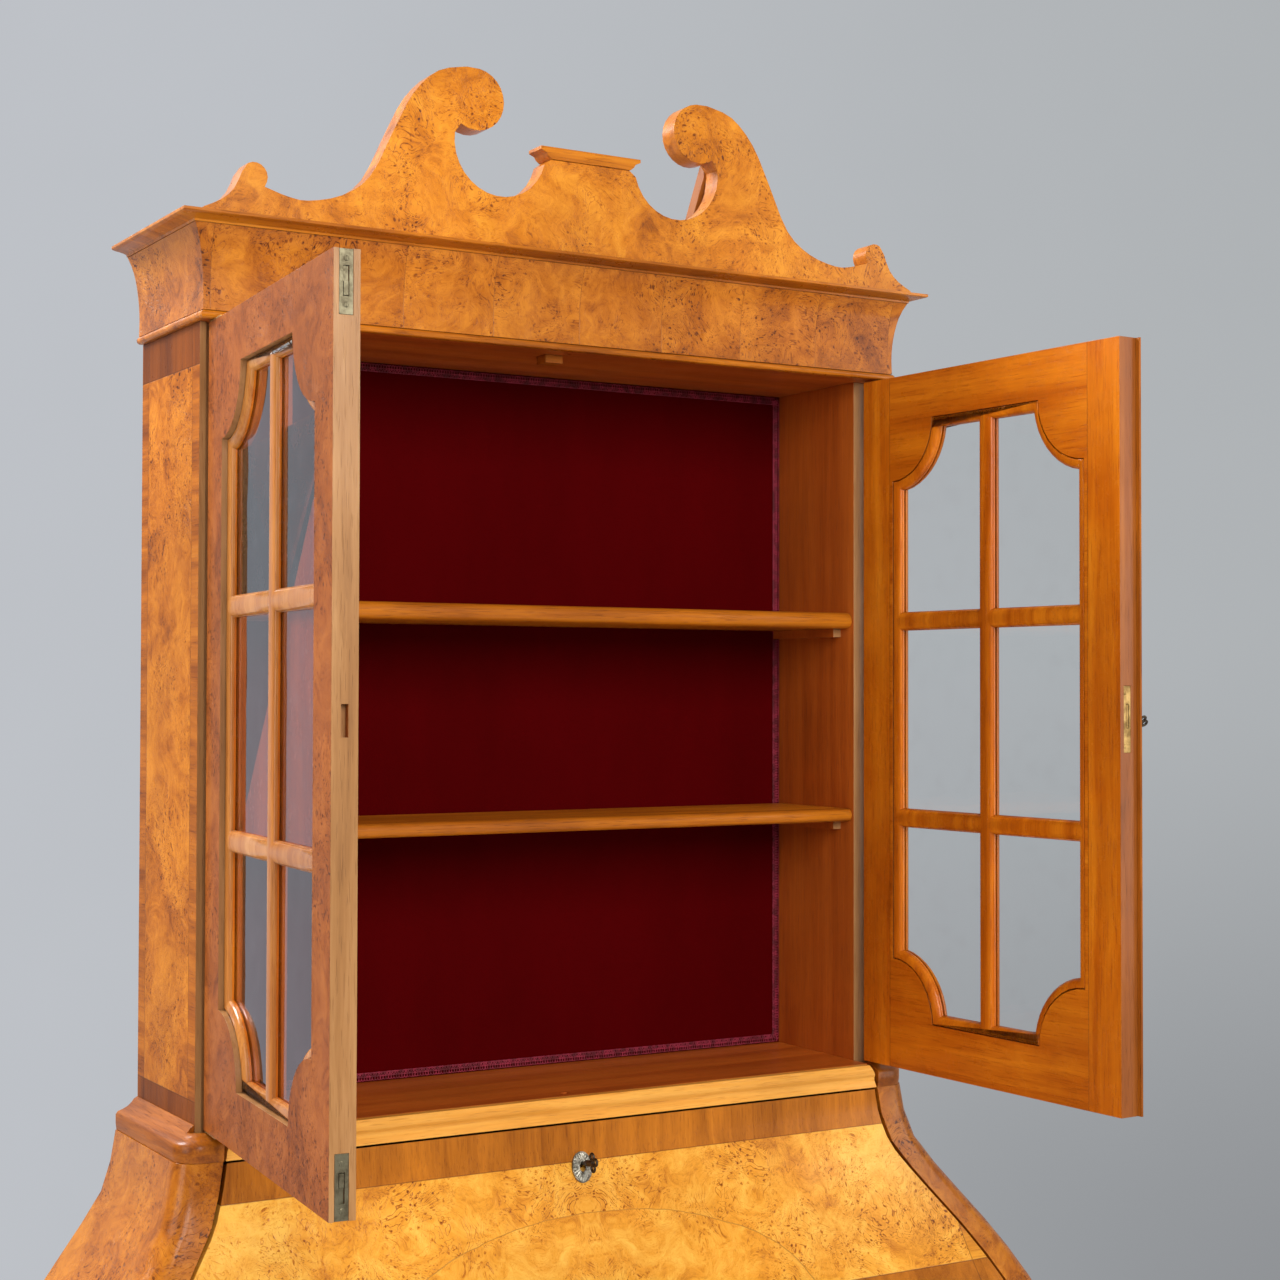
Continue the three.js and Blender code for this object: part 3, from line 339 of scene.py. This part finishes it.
def velvet_pile():
    net = Net("velvet")
    p = net.place()
    x, y, z = net.split(p)
    nap = net.noise(net.vec(x, y, z * 0.35), 7.0, 4.0, 0.6)
    pile = net.noise(p, 1500.0, 2.0)
    color = net.mix(nap, (0.048, 0.0002, 0.0006), (0.088, 0.0004, 0.0014))
    return net.shade(color, 0.95, pile, 0.0005, 0, Sheen_Weight=0.05, Sheen_Roughness=0.4,
                     Sheen_Tint=(0.8, 0.01, 0.03), Specular_IOR_Level=0.02)


def thread():
    net = Net("braid")
    p = net.place()
    twist = net.noise(p, 900.0, 2.0)
    color = net.mix(net.noise(p, 120.0, 3.0).over(0.5, 0.3), (0.10, 0.002, 0.008), (0.34, 0.020, 0.055))
    return net.shade(color, 0.55, twist, 0.0004, 0, Sheen_Weight=0.1, Sheen_Tint=(0.9, 0.2, 0.3))


def window(name, tint):
    """Thin old glass: mostly clear, mirrored at a glance, slightly wavy."""
    net = Net(name)
    p = net.place()
    wave = net.noise(p, 6.0, 2.0)
    bump = net.call("ShaderNodeBump", {"Height": wave, "Strength": 0.35, "Distance": 0.004})
    clear = net.call("ShaderNodeBsdfTransparent", {"Color": tint})
    shine = net.call("ShaderNodeBsdfGlossy", {"Color": (0.95, 0.96, 1.0, 1.0), "Roughness": 0.02, "Normal": bump})
    dust = net.noise(p, 40.0, 4.0).over(0.62, 0.3) * 0.02
    back = net.call("ShaderNodeNewGeometry", {}, out="Backfacing")
    fac = net.call("ShaderNodeFresnel", {"IOR": 1.5, "Normal": bump}) * (back * -1.0 + 1.0) * 1.3 + dust
    n = net.new("ShaderNodeMixShader")
    net.feed(n.inputs[0], fac)
    net.tree.links.new(clear.out, n.inputs[1])
    net.tree.links.new(shine.out, n.inputs[2])
    out = net.new("ShaderNodeOutputMaterial")
    net.tree.links.new(n.outputs[0], out.inputs[0])
    return net.mat


def door_place(joint, closed):
    j = JOINTS[joint]
    return j["pos_m"][:2] + [0.0], -math.radians(j["range_deg"][closed])


LEFT_AT, LEFT_TURN = door_place("left_door_swing", 1)
RIGHT_AT, RIGHT_TURN = door_place("right_door_swing", 0)
DOOR_WIDE = 0.4647

side_low, side_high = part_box("upper_side_left")
fall_low, fall_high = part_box("fall_front")

burl_side = banded("burl_side", GOLD, 1, (side_low.y, side_low.z), (side_high.y, side_high.z), 0.024, 0.048,
                   shine=0.05)
burl_frieze = burl("burl_frieze", GOLD, leaf=0.118)
# The crest's burl takes the lighter HONEY ramp: painted lighter than the frieze, standing in for light falling on
# it from above.
burl_crest = burl("burl_crest", HONEY)
burl_door = burl("burl_door", RED, 0.34, shine=0.06)
burl_fall = banded("burl_fall", BRIGHT, 0, (fall_low.x, fall_low.z + 0.02), (fall_high.x, fall_high.z),
                   0.045, 0.045, 0.22, curved=True)
burl_case = burl("burl_case", GOLD, 0.26)
grain_x = solid("grain_x", GOLD, 0)
grain_y = solid("grain_y", GOLD, 1)
grain_z = solid("grain_z", GOLD, 2)
edge_z = solid("edge_z", EDGE, 2, 0.4)
red_z = solid("red_edge", EDGE, 2, 0.35)
tan_z = solid("tan_edge", TAN, 2, 0.4)
orange_back = joined_frame("door_back", ORANGE, RIGHT_AT, RIGHT_TURN, 0.052, DOOR_WIDE)
left_back = joined_frame("left_door_back", ORANGE, LEFT_AT, LEFT_TURN, 0.052, DOOR_WIDE)
orange_bar = solid("bar_back", ORANGE, 2, 0.25)
gold_bar = solid("bar_front", BAR, 2, 0.22, coat=1.0)
honey_x = solid("honey_x", HONEY, 0, 0.28, coat=0.6)
inside_z = solid("inside_z", INSIDE, 2, 0.42, 0.7)
inside_x = solid("inside_x", INSIDE, 0, 0.35, 0.7)
shelf_x = solid("shelf_x", HONEY, 0, 0.35, 0.8)
pale_x = solid("pale_x", PALE, 0, 0.3)
raw_x = solid("raw_x", RAW, 0, 0.7, coat=0.0)
raw_z = solid("raw_z", RAW, 2, 0.7, coat=0.0)
VELVET = velvet_pile()
BRAID = thread()
BRASS = metal("brass", (0.46, 0.30, 0.11), (0.20, 0.12, 0.04), 0.36)
OLD_STEEL = metal("old_steel", (0.19, 0.17, 0.11), (0.08, 0.065, 0.04), 0.42)
IRON = metal("iron", (0.09, 0.07, 0.05), (0.03, 0.022, 0.015), 0.38)
SILVER = metal("silvered", (0.46, 0.44, 0.37), (0.10, 0.09, 0.07), 0.34, 140.0)
CLEAR = window("clear_glass", (0.99, 1.00, 1.00, 1.0))
# The left panes are tinted violet-grey as a painted reflection; the right door's glass stays clear.
PAINTED_REFLECTION_GLASS = window("left_glass", (0.80, 0.68, 0.70, 1.0))


# ------------------------------------------------------------------ shaping
def finish_piece(obj, node, body=None):
    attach(obj, body or BODY_OF[node])
    return obj


def dress(node, base, *rules, angle=32):
    """A welded copy of a CAD node. Each rule is (material, test) with a face's centre and normal."""
    mesh = NODES[node].data.copy()
    mesh.materials.clear()
    bm = bmesh.new()
    bm.from_mesh(mesh)
    bmesh.ops.remove_doubles(bm, verts=bm.verts, dist=2e-6)
    bm.normal_update()
    for m in (base, *(m for m, _ in rules)):
        mesh.materials.append(m)
    for f in bm.faces:
        f.smooth = True
        f.material_index = 0
        for i, (_, test) in enumerate(rules):
            if test(f.calc_center_median(), f.normal):
                f.material_index = i + 1
    for e in bm.edges:
        e.smooth = len(e.link_faces) == 2 and e.calc_face_angle(0) < math.radians(angle)
    bm.to_mesh(mesh)
    bm.free()
    if "custom_normal" in mesh.attributes:
        mesh.attributes.remove(mesh.attributes["custom_normal"])
    obj = bpy.data.objects.new(node + "_look", mesh)
    bpy.context.scene.collection.objects.link(obj)
    finish_piece(obj, node)
    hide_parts(node)
    return obj


def facing(direction, least=0.8):
    d = Vector(direction).normalized()
    return lambda c, n: n.dot(d) > least


LEFT_OUT = Matrix.Rotation(LEFT_TURN, 3, "Z") @ Vector((0, -1, 0))
RIGHT_OUT = Matrix.Rotation(RIGHT_TURN, 3, "Z") @ Vector((0, -1, 0))
LEFT_TIP = Matrix.Rotation(LEFT_TURN, 3, "Z") @ Vector((1, 0, 0))
RIGHT_TIP = Matrix.Rotation(RIGHT_TURN, 3, "Z") @ Vector((-1, 0, 0))

dress("upper_side_left", inside_z, (burl_side, facing((-1, 0, 0))), (edge_z, facing((0, -1, 0))))
dress("upper_side_right", inside_z, (burl_side, facing((1, 0, 0))), (edge_z, facing((0, -1, 0))))
dress("upper_floor_board", inside_x)
dress("upper_ceiling_board", inside_x)
dress("upper_back_board", raw_z)
dress("shelf_upper", shelf_x)
dress("shelf_lower", shelf_x)
dress("door_stop_block", grain_x)
dress("cornice_bead", honey_x, angle=50)
dress("cornice_frieze", burl_frieze)
dress("crown_moulding", honey_x, angle=40)
dress("cornice_dust_board", raw_x)
dress("pediment_board", honey_x, (burl_crest, facing((0, -1, 0))), (raw_x, facing((0, 1, 0))))
dress("pediment_cap", honey_x)
dress("pediment_brace", tan_z)
dress("door_frame_left", red_z, (burl_door, facing(LEFT_OUT)), (left_back, facing(-LEFT_OUT)))
dress("door_frame_right", orange_back, (burl_case, facing(RIGHT_OUT)), (tan_z, facing(RIGHT_TIP)))
dress("glass_left", PAINTED_REFLECTION_GLASS)
dress("glass_right", CLEAR)
for hinge_node in ("left_top", "left_bottom", "right_top", "right_bottom"):
    dress("knife_hinge_" + hinge_node, BRASS)
for plate_node in ("flush_plate_top", "flush_plate_bottom", "flush_bolt_top", "flush_bolt_bottom"):
    dress(plate_node, OLD_STEEL)
dress("door_astragal", grain_z, angle=50)
dress("door_lock", BRASS)
dress("door_lock_bolt", BRASS)
dress("desk_top_board", grain_x)
dress("front_moulding", pale_x, angle=50)
dress("side_moulding_left", grain_y, angle=50)
dress("side_moulding_right", grain_y, angle=50)
for side in ("left", "right"):
    dress("desk_side_" + side, burl_case)
    dress("corner_post_" + side, burl_case)
    dress("loper_" + side, grain_y)
dress("desk_back_board", raw_x)
dress("writing_board", grain_x)
dress("fall_front", burl_fall, (grain_x, facing((0, 1, 0.5), 0.9)))
dress("gallery", grain_x)
for place_name in ("left", "middle", "right"):
    dress("gallery_drawer_" + place_name, grain_x)
dress("drawer_case", grain_x)
for number in (1, 2, 3):
    dress(f"long_drawer_{number}", raw_x, (burl_case, lambda c, n: n.y < -0.3))
dress("base_plinth", grain_x)


# ------------------------------------------------------------------ glazing bars
def boundary_loops(front):
    """Inward directions of the front's outline by vertex, and the vertices of its outermost loop."""
    inward, links = {}, {}
    for f in front:
        for loop in f.loops:
            if sum(g in front for g in loop.edge.link_faces) != 1:
                continue
            a, b = loop.vert, loop.link_loop_next.vert
            side = f.normal.cross((b.co - a.co).normalized())
            for v, other in ((a, b), (b, a)):
                inward.setdefault(v, []).append(side)
                links.setdefault(v, []).append(other)
    start = max(inward, key=lambda v: v.co.z)
    outer, todo = {start}, [start]
    while todo:
        for v in links[todo.pop()]:
            if v not in outer:
                outer.add(v)
                todo.append(v)
    return inward, outer


def moulded_bars(node, outward, front_mat, back_mat, shift=0.0):
    """The bars' face rounded to a moulding: its outline drawn in step by step along a quarter round.
    With a shift they are the inner beads, which hold the glass from behind."""
    if shift:
        mesh = NODES[node].data.copy()
        mesh.transform(Matrix.Translation(outward * shift))
        mesh.materials.clear()
        mesh.materials.append(back_mat)
        if "custom_normal" in mesh.attributes:
            mesh.attributes.remove(mesh.attributes["custom_normal"])
        obj = bpy.data.objects.new(node + "_inner_beads", mesh)
        bpy.context.scene.collection.objects.link(obj)
        finish_piece(obj, node)
    else:
        mesh = dress(node, back_mat, angle=40).data
    mesh.materials.append(front_mat)
    bm = bmesh.new()
    bm.from_mesh(mesh)
    bmesh.ops.remove_doubles(bm, verts=bm.verts, dist=2e-6)
    bm.normal_update()

    def forward():
        return {f for f in bm.faces if f.normal.dot(outward) > 0.9}

    front = forward()
    loose = [v for v in {v for f in front for v in f.verts} if all(f in front for f in v.link_faces)]
    bmesh.ops.dissolve_verts(bm, verts=loose)
    bm.normal_update()
    bmesh.ops.triangulate(bm, faces=list(forward()))
    bm.normal_update()
    front = forward()
    inward, outer = boundary_loops(front)
    rise, fillet, stages = 6.0 * MM, 0.6 * MM, 7
    level = {v: v for v in inward}
    base = {}
    for v in inward:
        base[v] = v.co - outward * rise
    outline_edges = [(loop.vert, loop.link_loop_next.vert) for f in front for loop in f.loops
                     if sum(g in front for g in loop.edge.link_faces) == 1]
    caps = [[loop.vert for loop in f.loops] for f in front]
    bmesh.ops.delete(bm, geom=list(front), context="FACES_ONLY")
    for v in inward:
        v.co = base[v]
    for i in range(stages + 1):
        angle = math.radians(90.0 * i / stages)
        made = {}
        for v, sides in inward.items():
            reach = (1.5 if v in outer else 11.2) * MM
            both = sum(sides, Vector())
            mitre = both / max(0.6, 1.0 + sides[0].dot(sides[-1]))
            step = fillet + (reach - fillet) * (1.0 - math.cos(angle))
            made[v] = bm.verts.new(base[v] + mitre * step + outward * rise * math.sin(angle))
        for a, b in outline_edges:
            bm.faces.new((level[a], level[b], made[b], made[a])).material_index = 1
        level = made
    for cap in caps:
        bm.faces.new([level[v] for v in cap]).material_index = 1
    bm.normal_update()
    for f in bm.faces:
        f.smooth = True
    for e in bm.edges:
        e.smooth = len(e.link_faces) == 2 and e.calc_face_angle(0) < math.radians(45)
    bm.to_mesh(mesh)
    bm.free()


moulded_bars("glazing_bars_left", LEFT_OUT, gold_bar, orange_bar)
moulded_bars("glazing_bars_right", RIGHT_OUT, gold_bar, orange_bar)
BEHIND_GLASS = 11.4 * MM
moulded_bars("glazing_bars_left", -LEFT_OUT, orange_bar, orange_bar, BEHIND_GLASS)
moulded_bars("glazing_bars_right", -RIGHT_OUT, orange_bar, orange_bar, BEHIND_GLASS)


# ------------------------------------------------------------------ small made pieces
def mesh_object(name, material, build):
    bm = bmesh.new()
    build(bm)
    mesh = bpy.data.meshes.new(name)
    for f in bm.faces:
        f.smooth = True
    bm.to_mesh(mesh)
    bm.free()
    mesh.materials.append(material)
    mesh.set_sharp_from_angle(angle=math.radians(38))
    obj = bpy.data.objects.new(name, mesh)
    bpy.context.scene.collection.objects.link(obj)
    return obj


def lathe(bm, profile, matrix, sides=24):
    """profile is (radius, height) along local z."""
    rings = []
    for r, h in profile:
        ring = [bm.verts.new(matrix @ Vector((r * math.cos(2 * math.pi * i / sides),
                                              r * math.sin(2 * math.pi * i / sides), h)))
                for i in range(sides)]
        rings.append(ring)
    for a, b in zip(rings, rings[1:]):
        for i in range(sides):
            bm.faces.new((a[i], a[(i + 1) % sides], b[(i + 1) % sides], b[i]))
    bm.faces.new(list(reversed(rings[0])))
    bm.faces.new(rings[-1])


def torus(bm, centre, matrix, major, minor, stretch=(1, 1), n=28, m=10):
    rings = []
    for i in range(n):
        a = 2 * math.pi * i / n
        ring = []
        for k in range(m):
            b = 2 * math.pi * k / m
            r = major + minor * math.cos(b)
            ring.append(bm.verts.new(matrix @ (Vector(centre) + Vector((r * math.cos(a) * stretch[0],
                                                                        r * math.sin(a) * stretch[1],
                                                                        minor * math.sin(b))))))
        rings.append(ring)
    for i in range(n):
        a, b = rings[i], rings[(i + 1) % n]
        for k in range(m):
            bm.faces.new((a[k], b[k], b[(k + 1) % m], a[(k + 1) % m]))


def axes_matrix(origin, z_axis, x_axis=(0, 0, 1)):
    z = Vector(z_axis).normalized()
    x = Vector(x_axis)
    x = (x - z * x.dot(z)).normalized()
    y = z.cross(x)
    return Matrix.Translation(origin) @ Matrix((x, y, z)).transposed().to_4x4()


def make_key(node, joint, stem, bow, flat_along, degrees):
    """A key standing out along its shank: shank, collars and a bow of three rings."""
    j = JOINTS[joint]
    out = Vector(j["axis"])
    base = Vector(j["pos_m"]) - out * 0.008
    m = axes_matrix(base, out, flat_along) @ Matrix.Rotation(math.radians(degrees), 4, "Z")

    def build(bm):
        s = stem * MM
        b = bow * MM
        lathe(bm, [(2.2 * MM, 0), (2.2 * MM, s * 0.62), (3.7 * MM, s * 0.64), (3.9 * MM, s * 0.70),
                   (2.5 * MM, s * 0.74), (2.5 * MM, s * 0.80), (3.8 * MM, s * 0.84), (3.6 * MM, s * 0.90),
                   (2.2 * MM, s * 0.96), (1.8 * MM, s + b * 0.3)], m)
        turn = m @ Matrix.Rotation(math.radians(90), 4, "X")
        for x, y in ((0, 1.15), (-0.75, 0.40), (0.75, 0.40)):
            torus(bm, (x * b, s + y * b, 0), turn, b * 0.44, b * 0.18)
    obj = mesh_object(node + "_look", IRON, build)
    finish_piece(obj, node)
    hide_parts(node)


make_key("door_key", "door_key_turn", 30, 8.5, (0, 1, 0), -50)
make_key("fall_key", "fall_key_turn", 34, 9, (1, 0, 0), 90)


def screw(name, at, outward, radius, material, body):
    def build(bm):
        m = axes_matrix(at, outward)
        r = radius
        lathe(bm, [(r, -0.0002), (r, 0.00015), (r * 0.75, 0.0004), (r * 0.3, 0.0005)], m, 20)
        for sx in (-1, 1):
            bmesh.ops.create_cube(bm, size=1.0, matrix=m @ Matrix.Translation((0, sx * r * 0.45, 0.0004))
                                  @ Matrix.Diagonal((r * 1.5, r * 0.55, 0.0007, 1)))
    obj = mesh_object(name, material, build)
    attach(obj, body)


def centre(node):
    low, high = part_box(node)
    return (low + high) / 2


for plate_name in ("flush_plate_top", "flush_plate_bottom"):
    low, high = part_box(plate_name)
    mid = (low + high) / 2
    face_at = mid + LEFT_TIP * 0.00085
    for i, z in enumerate((low.z + 0.009, high.z - 0.009)):
        screw(f"{plate_name}_screw_{i}", Vector((face_at.x, face_at.y, z)), LEFT_TIP, 0.0027, OLD_STEEL,
              "left_door")


# lock face plate with its screws, on the right door's edge
lock_low, lock_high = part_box("door_lock")
lock_tip = Vector(RIGHT_AT) + RIGHT_TIP * (DOOR_WIDE - 0.0003)
lock_mid = Vector((lock_tip.x, lock_tip.y, (lock_low.z + lock_high.z) / 2)) - RIGHT_OUT * 0.0150
for i, dz in enumerate((-0.031, 0.031)):
    screw(f"lock_screw_{i}", lock_mid + Vector((0, 0, dz)), RIGHT_TIP, 0.0027, BRASS, "right_door")


def escutcheon():
    """Oval plate with radial gadroons and a beaded rim, pierced by the keyhole."""
    j = JOINTS["fall_key_turn"]
    out = Vector(j["axis"])
    low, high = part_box("fall_escutcheon")
    mid = (low + high) / 2
    m = axes_matrix(mid, out, (1, 0, 0))
    rx, ry = (high.x - low.x) / 2, (high.z - low.z) / 2

    def build(bm):
        sides, rings = 144, 22
        grid = []
        for i in range(rings + 1):
            t = 0.30 + 0.70 * i / rings
            row = []
            for k in range(sides):
                a = 2 * math.pi * k / sides
                dome = 0.0016 * math.cos(t * 1.4)
                flute = 0.0007 * abs(math.sin(a * 11)) if 0.45 < t < 0.88 else 0.0
                bead = 0.0007 * abs(math.sin(a * 24)) if t >= 0.90 else 0.0
                ridge = 0.0006 if 0.36 < t < 0.43 else 0.0
                row.append(bm.verts.new(m @ Vector((rx * t * math.cos(a), -ry * t * math.sin(a),
                                                    dome + flute + bead + ridge))))
            grid.append(row)
        for r0, r1 in zip(grid, grid[1:]):
            for k in range(sides):
                bm.faces.new((r0[k], r0[(k + 1) % sides], r1[(k + 1) % sides], r1[k]))
        skirt = [bm.verts.new(v.co - out * 0.0022) for v in grid[-1]]
        for k in range(sides):
            bm.faces.new((grid[-1][k], grid[-1][(k + 1) % sides], skirt[(k + 1) % sides], skirt[k]))
        bmesh.ops.recalc_face_normals(bm, faces=bm.faces)
    obj = mesh_object("escutcheon", SILVER, build)
    finish_piece(obj, "fall_escutcheon")
    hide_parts("fall_escutcheon")


escutcheon()


# ------------------------------------------------------------------ velvet and braid
def velvet():
    low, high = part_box("velvet_lining")
    cols, rows = 90, 92

    def build(bm):
        rnd = random.Random(4)
        grid = []
        for r in range(rows + 1):
            z = low.z + (high.z - low.z) * r / rows
            row = []
            for c in range(cols + 1):
                x = low.x + (high.x - low.x) * c / cols
                y = low.y + 0.00015 * math.sin(x * 31 + z * 9) + rnd.uniform(-0.00002, 0.00002)
                row.append(bm.verts.new((x, y, z)))
            grid.append(row)
        for a, b in zip(grid, grid[1:]):
            for c in range(cols):
                bm.faces.new((a[c], a[c + 1], b[c + 1], b[c]))
    obj = mesh_object("velvet_cloth", VELVET, build)
    finish_piece(obj, "velvet_lining")
    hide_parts("velvet_lining")
    return obj, (high.x - low.x, high.z - low.z)


def strand(name, points, radius, cyclic=False):
    data = bpy.data.curves.new(name, "CURVE")
    data.dimensions = "3D"
    data.bevel_depth = radius
    data.bevel_resolution = 1
    for line in points:
        spline = data.splines.new("POLY")
        spline.points.add(len(line) - 1)
        for p, co in zip(spline.points, line):
            p.co = (*co, 1.0)
        spline.use_cyclic_u = cyclic
    data.materials.append(BRAID)
    obj = bpy.data.objects.new(name, data)
    bpy.context.scene.collection.objects.link(obj)
    bpy.context.view_layer.update()
    mesh = bpy.data.meshes.new_from_object(obj.evaluated_get(bpy.context.evaluated_depsgraph_get()))
    bpy.data.objects.remove(obj)
    solid_obj = bpy.data.objects.new(name, mesh)
    for poly in mesh.polygons:
        poly.use_smooth = True
    bpy.context.scene.collection.objects.link(solid_obj)
    return solid_obj


def braid():
    low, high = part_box("gimp_braid")
    inset = 6.5 * MM
    y = (low.y + high.y) / 2
    corners = [(low.x + inset, low.z + inset), (high.x - inset, low.z + inset),
               (high.x - inset, high.z - inset), (low.x + inset, high.z - inset)]
    loops, cords = [], []
    pitch = 7.4 * MM
    for i in range(4):
        (x0, z0), (x1, z1) = corners[i], corners[(i + 1) % 4]
        length = math.hypot(x1 - x0, z1 - z0)
        ux, uz = (x1 - x0) / length, (z1 - z0) / length
        turns = round(length / pitch)
        count = turns * 14
        for phase, lift in ((0.0, 0.0), (math.pi, -0.0007)):
            line = []
            for k in range(count + 1):
                a = 2 * math.pi * turns * k / count + phase
                s = length * k / count + 3.6 * MM * math.sin(a)
                q = 4.9 * MM * math.cos(a)
                line.append((x0 + ux * s - uz * q, y + lift + 0.0004 * math.sin(2 * a), z0 + uz * s + ux * q))
            loops.append(line)
        for q in (0.0,):
            cords.append([(x0 + ux * s - uz * q, y - 0.0010, z0 + uz * s + ux * q) for s in (-q, length + q)])
    ring = strand("braid_loops", loops, 0.6 * MM)
    finish_piece(ring, "gimp_braid")
    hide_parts("gimp_braid")
    core = strand("braid_cords", cords, 0.7 * MM)
    finish_piece(core, "gimp_braid")
    return [ring, core]


cloth, cut_size = velvet()
trim = braid()


# ------------------------------------------------------------------ room
WALL_AT = (1.212, 2.002, 0.0)
WALL_TURN = math.radians(-30.8)


def studio():
    net = Net("floor")
    p = net.place()
    grain = net.noise(p, 60.0, 4.0)
    floor_mat = net.shade(net.mix(grain, (0.56, 0.57, 0.58), (0.62, 0.63, 0.64)), 0.7, grain, 0.0004, 0)
    net = Net("backdrop")
    x, y, z = net.split(net.place(WALL_AT, WALL_TURN))
    # The backdrop glows by its own emission and carries painted light: lighter towards the left and top, with
    # painted shade darkening it towards the right and the lower right.
    across = x.over(0.2, 3.4)
    painted_falloff_shade = across * (z.over(1.0, 1.6) * -1.0 + 1.0)
    mottle = net.noise(net.place(), 3.0, 3.0) * 0.03
    tint = net.mix(across, (0.515, 0.535, 0.570), (0.425, 0.445, 0.460))
    tint = net.mix(painted_falloff_shade, tint, (0.275, 0.285, 0.300))
    glow = net.call("ShaderNodeEmission", {"Color": tint, "Strength": mottle + 0.985})
    away = net.call("ShaderNodeBsdfTransparent", {})
    behind = net.call("ShaderNodeNewGeometry", {}, out="Backfacing")
    n = net.new("ShaderNodeMixShader")
    net.feed(n.inputs[0], behind)
    net.tree.links.new(glow.out, n.inputs[1])
    net.tree.links.new(away.out, n.inputs[2])
    net.tree.links.new(n.outputs[0], net.new("ShaderNodeOutputMaterial").inputs[0])
    wall_mat = net.mat
    floor = mesh_object("floor", floor_mat, lambda bm: bmesh.ops.create_grid(
        bm, x_segments=1, y_segments=1, size=5.0))
    wall = mesh_object("backdrop", wall_mat, lambda bm: bmesh.ops.create_grid(
        bm, x_segments=1, y_segments=1, size=5.0,
        matrix=Matrix.Translation(WALL_AT) @ Matrix.Rotation(WALL_TURN, 4, "Z")
        @ Matrix.Translation((0, 0, 4.9)) @ Matrix.Rotation(math.radians(90), 4, "X")))


def area(name, at, aim, size, watts, color=(1, 1, 1)):
    light = bpy.data.lights.new(name, "AREA")
    light.shape = "RECTANGLE"
    light.size, light.size_y = size
    light.energy = watts
    light.color = color
    obj = bpy.data.objects.new(name, light)
    obj.location = at
    obj.rotation_euler = (Vector(aim) - Vector(at)).to_track_quat("-Z", "Y").to_euler()
    bpy.context.scene.collection.objects.link(obj)


studio()
area("key", (-0.6, -3.6, 3.0), (0.0, 0.0, 1.5), (2.2, 2.0), 150, (1.0, 0.97, 0.93))
area("fill_left", (-3.6, -0.8, 2.2), (0.0, 0.0, 1.5), (1.6, 2.6), 50, (1.0, 0.97, 0.93))
area("fill_right", (3.2, -2.4, 2.0), (0.0, 0.0, 1.4), (1.6, 2.4), 45, (1.0, 0.97, 0.93))
area("rim", (-1.8, 1.9, 3.6), (0.0, 0.1, 2.1), (1.2, 1.2), 170)
world = bpy.data.worlds.new("studio")
world.use_nodes = True
world.node_tree.nodes["Background"].inputs[0].default_value = (0.66, 0.66, 0.66, 1)
world.node_tree.nodes["Background"].inputs[1].default_value = 0.42
bpy.context.scene.world = world
bpy.context.scene.view_settings.view_transform = "Standard"

# ------------------------------------------------------------------ camera
cam_data = bpy.data.cameras.new("camera")
cam_data.lens = 61.14
cam_data.sensor_width = 36.0
cam_data.clip_end = 40.0
camera = bpy.data.objects.new("camera", cam_data)
camera.matrix_world = (Matrix.Translation((-1.2970, -2.2074, 1.5735))
                       @ Matrix.Rotation(math.radians(-30.797), 4, "Z")
                       @ Matrix.Rotation(math.radians(91.321), 4, "X")
                       @ Matrix.Rotation(math.radians(0.121), 4, "Z"))
bpy.context.scene.collection.objects.link(camera)
bpy.context.scene.camera = camera
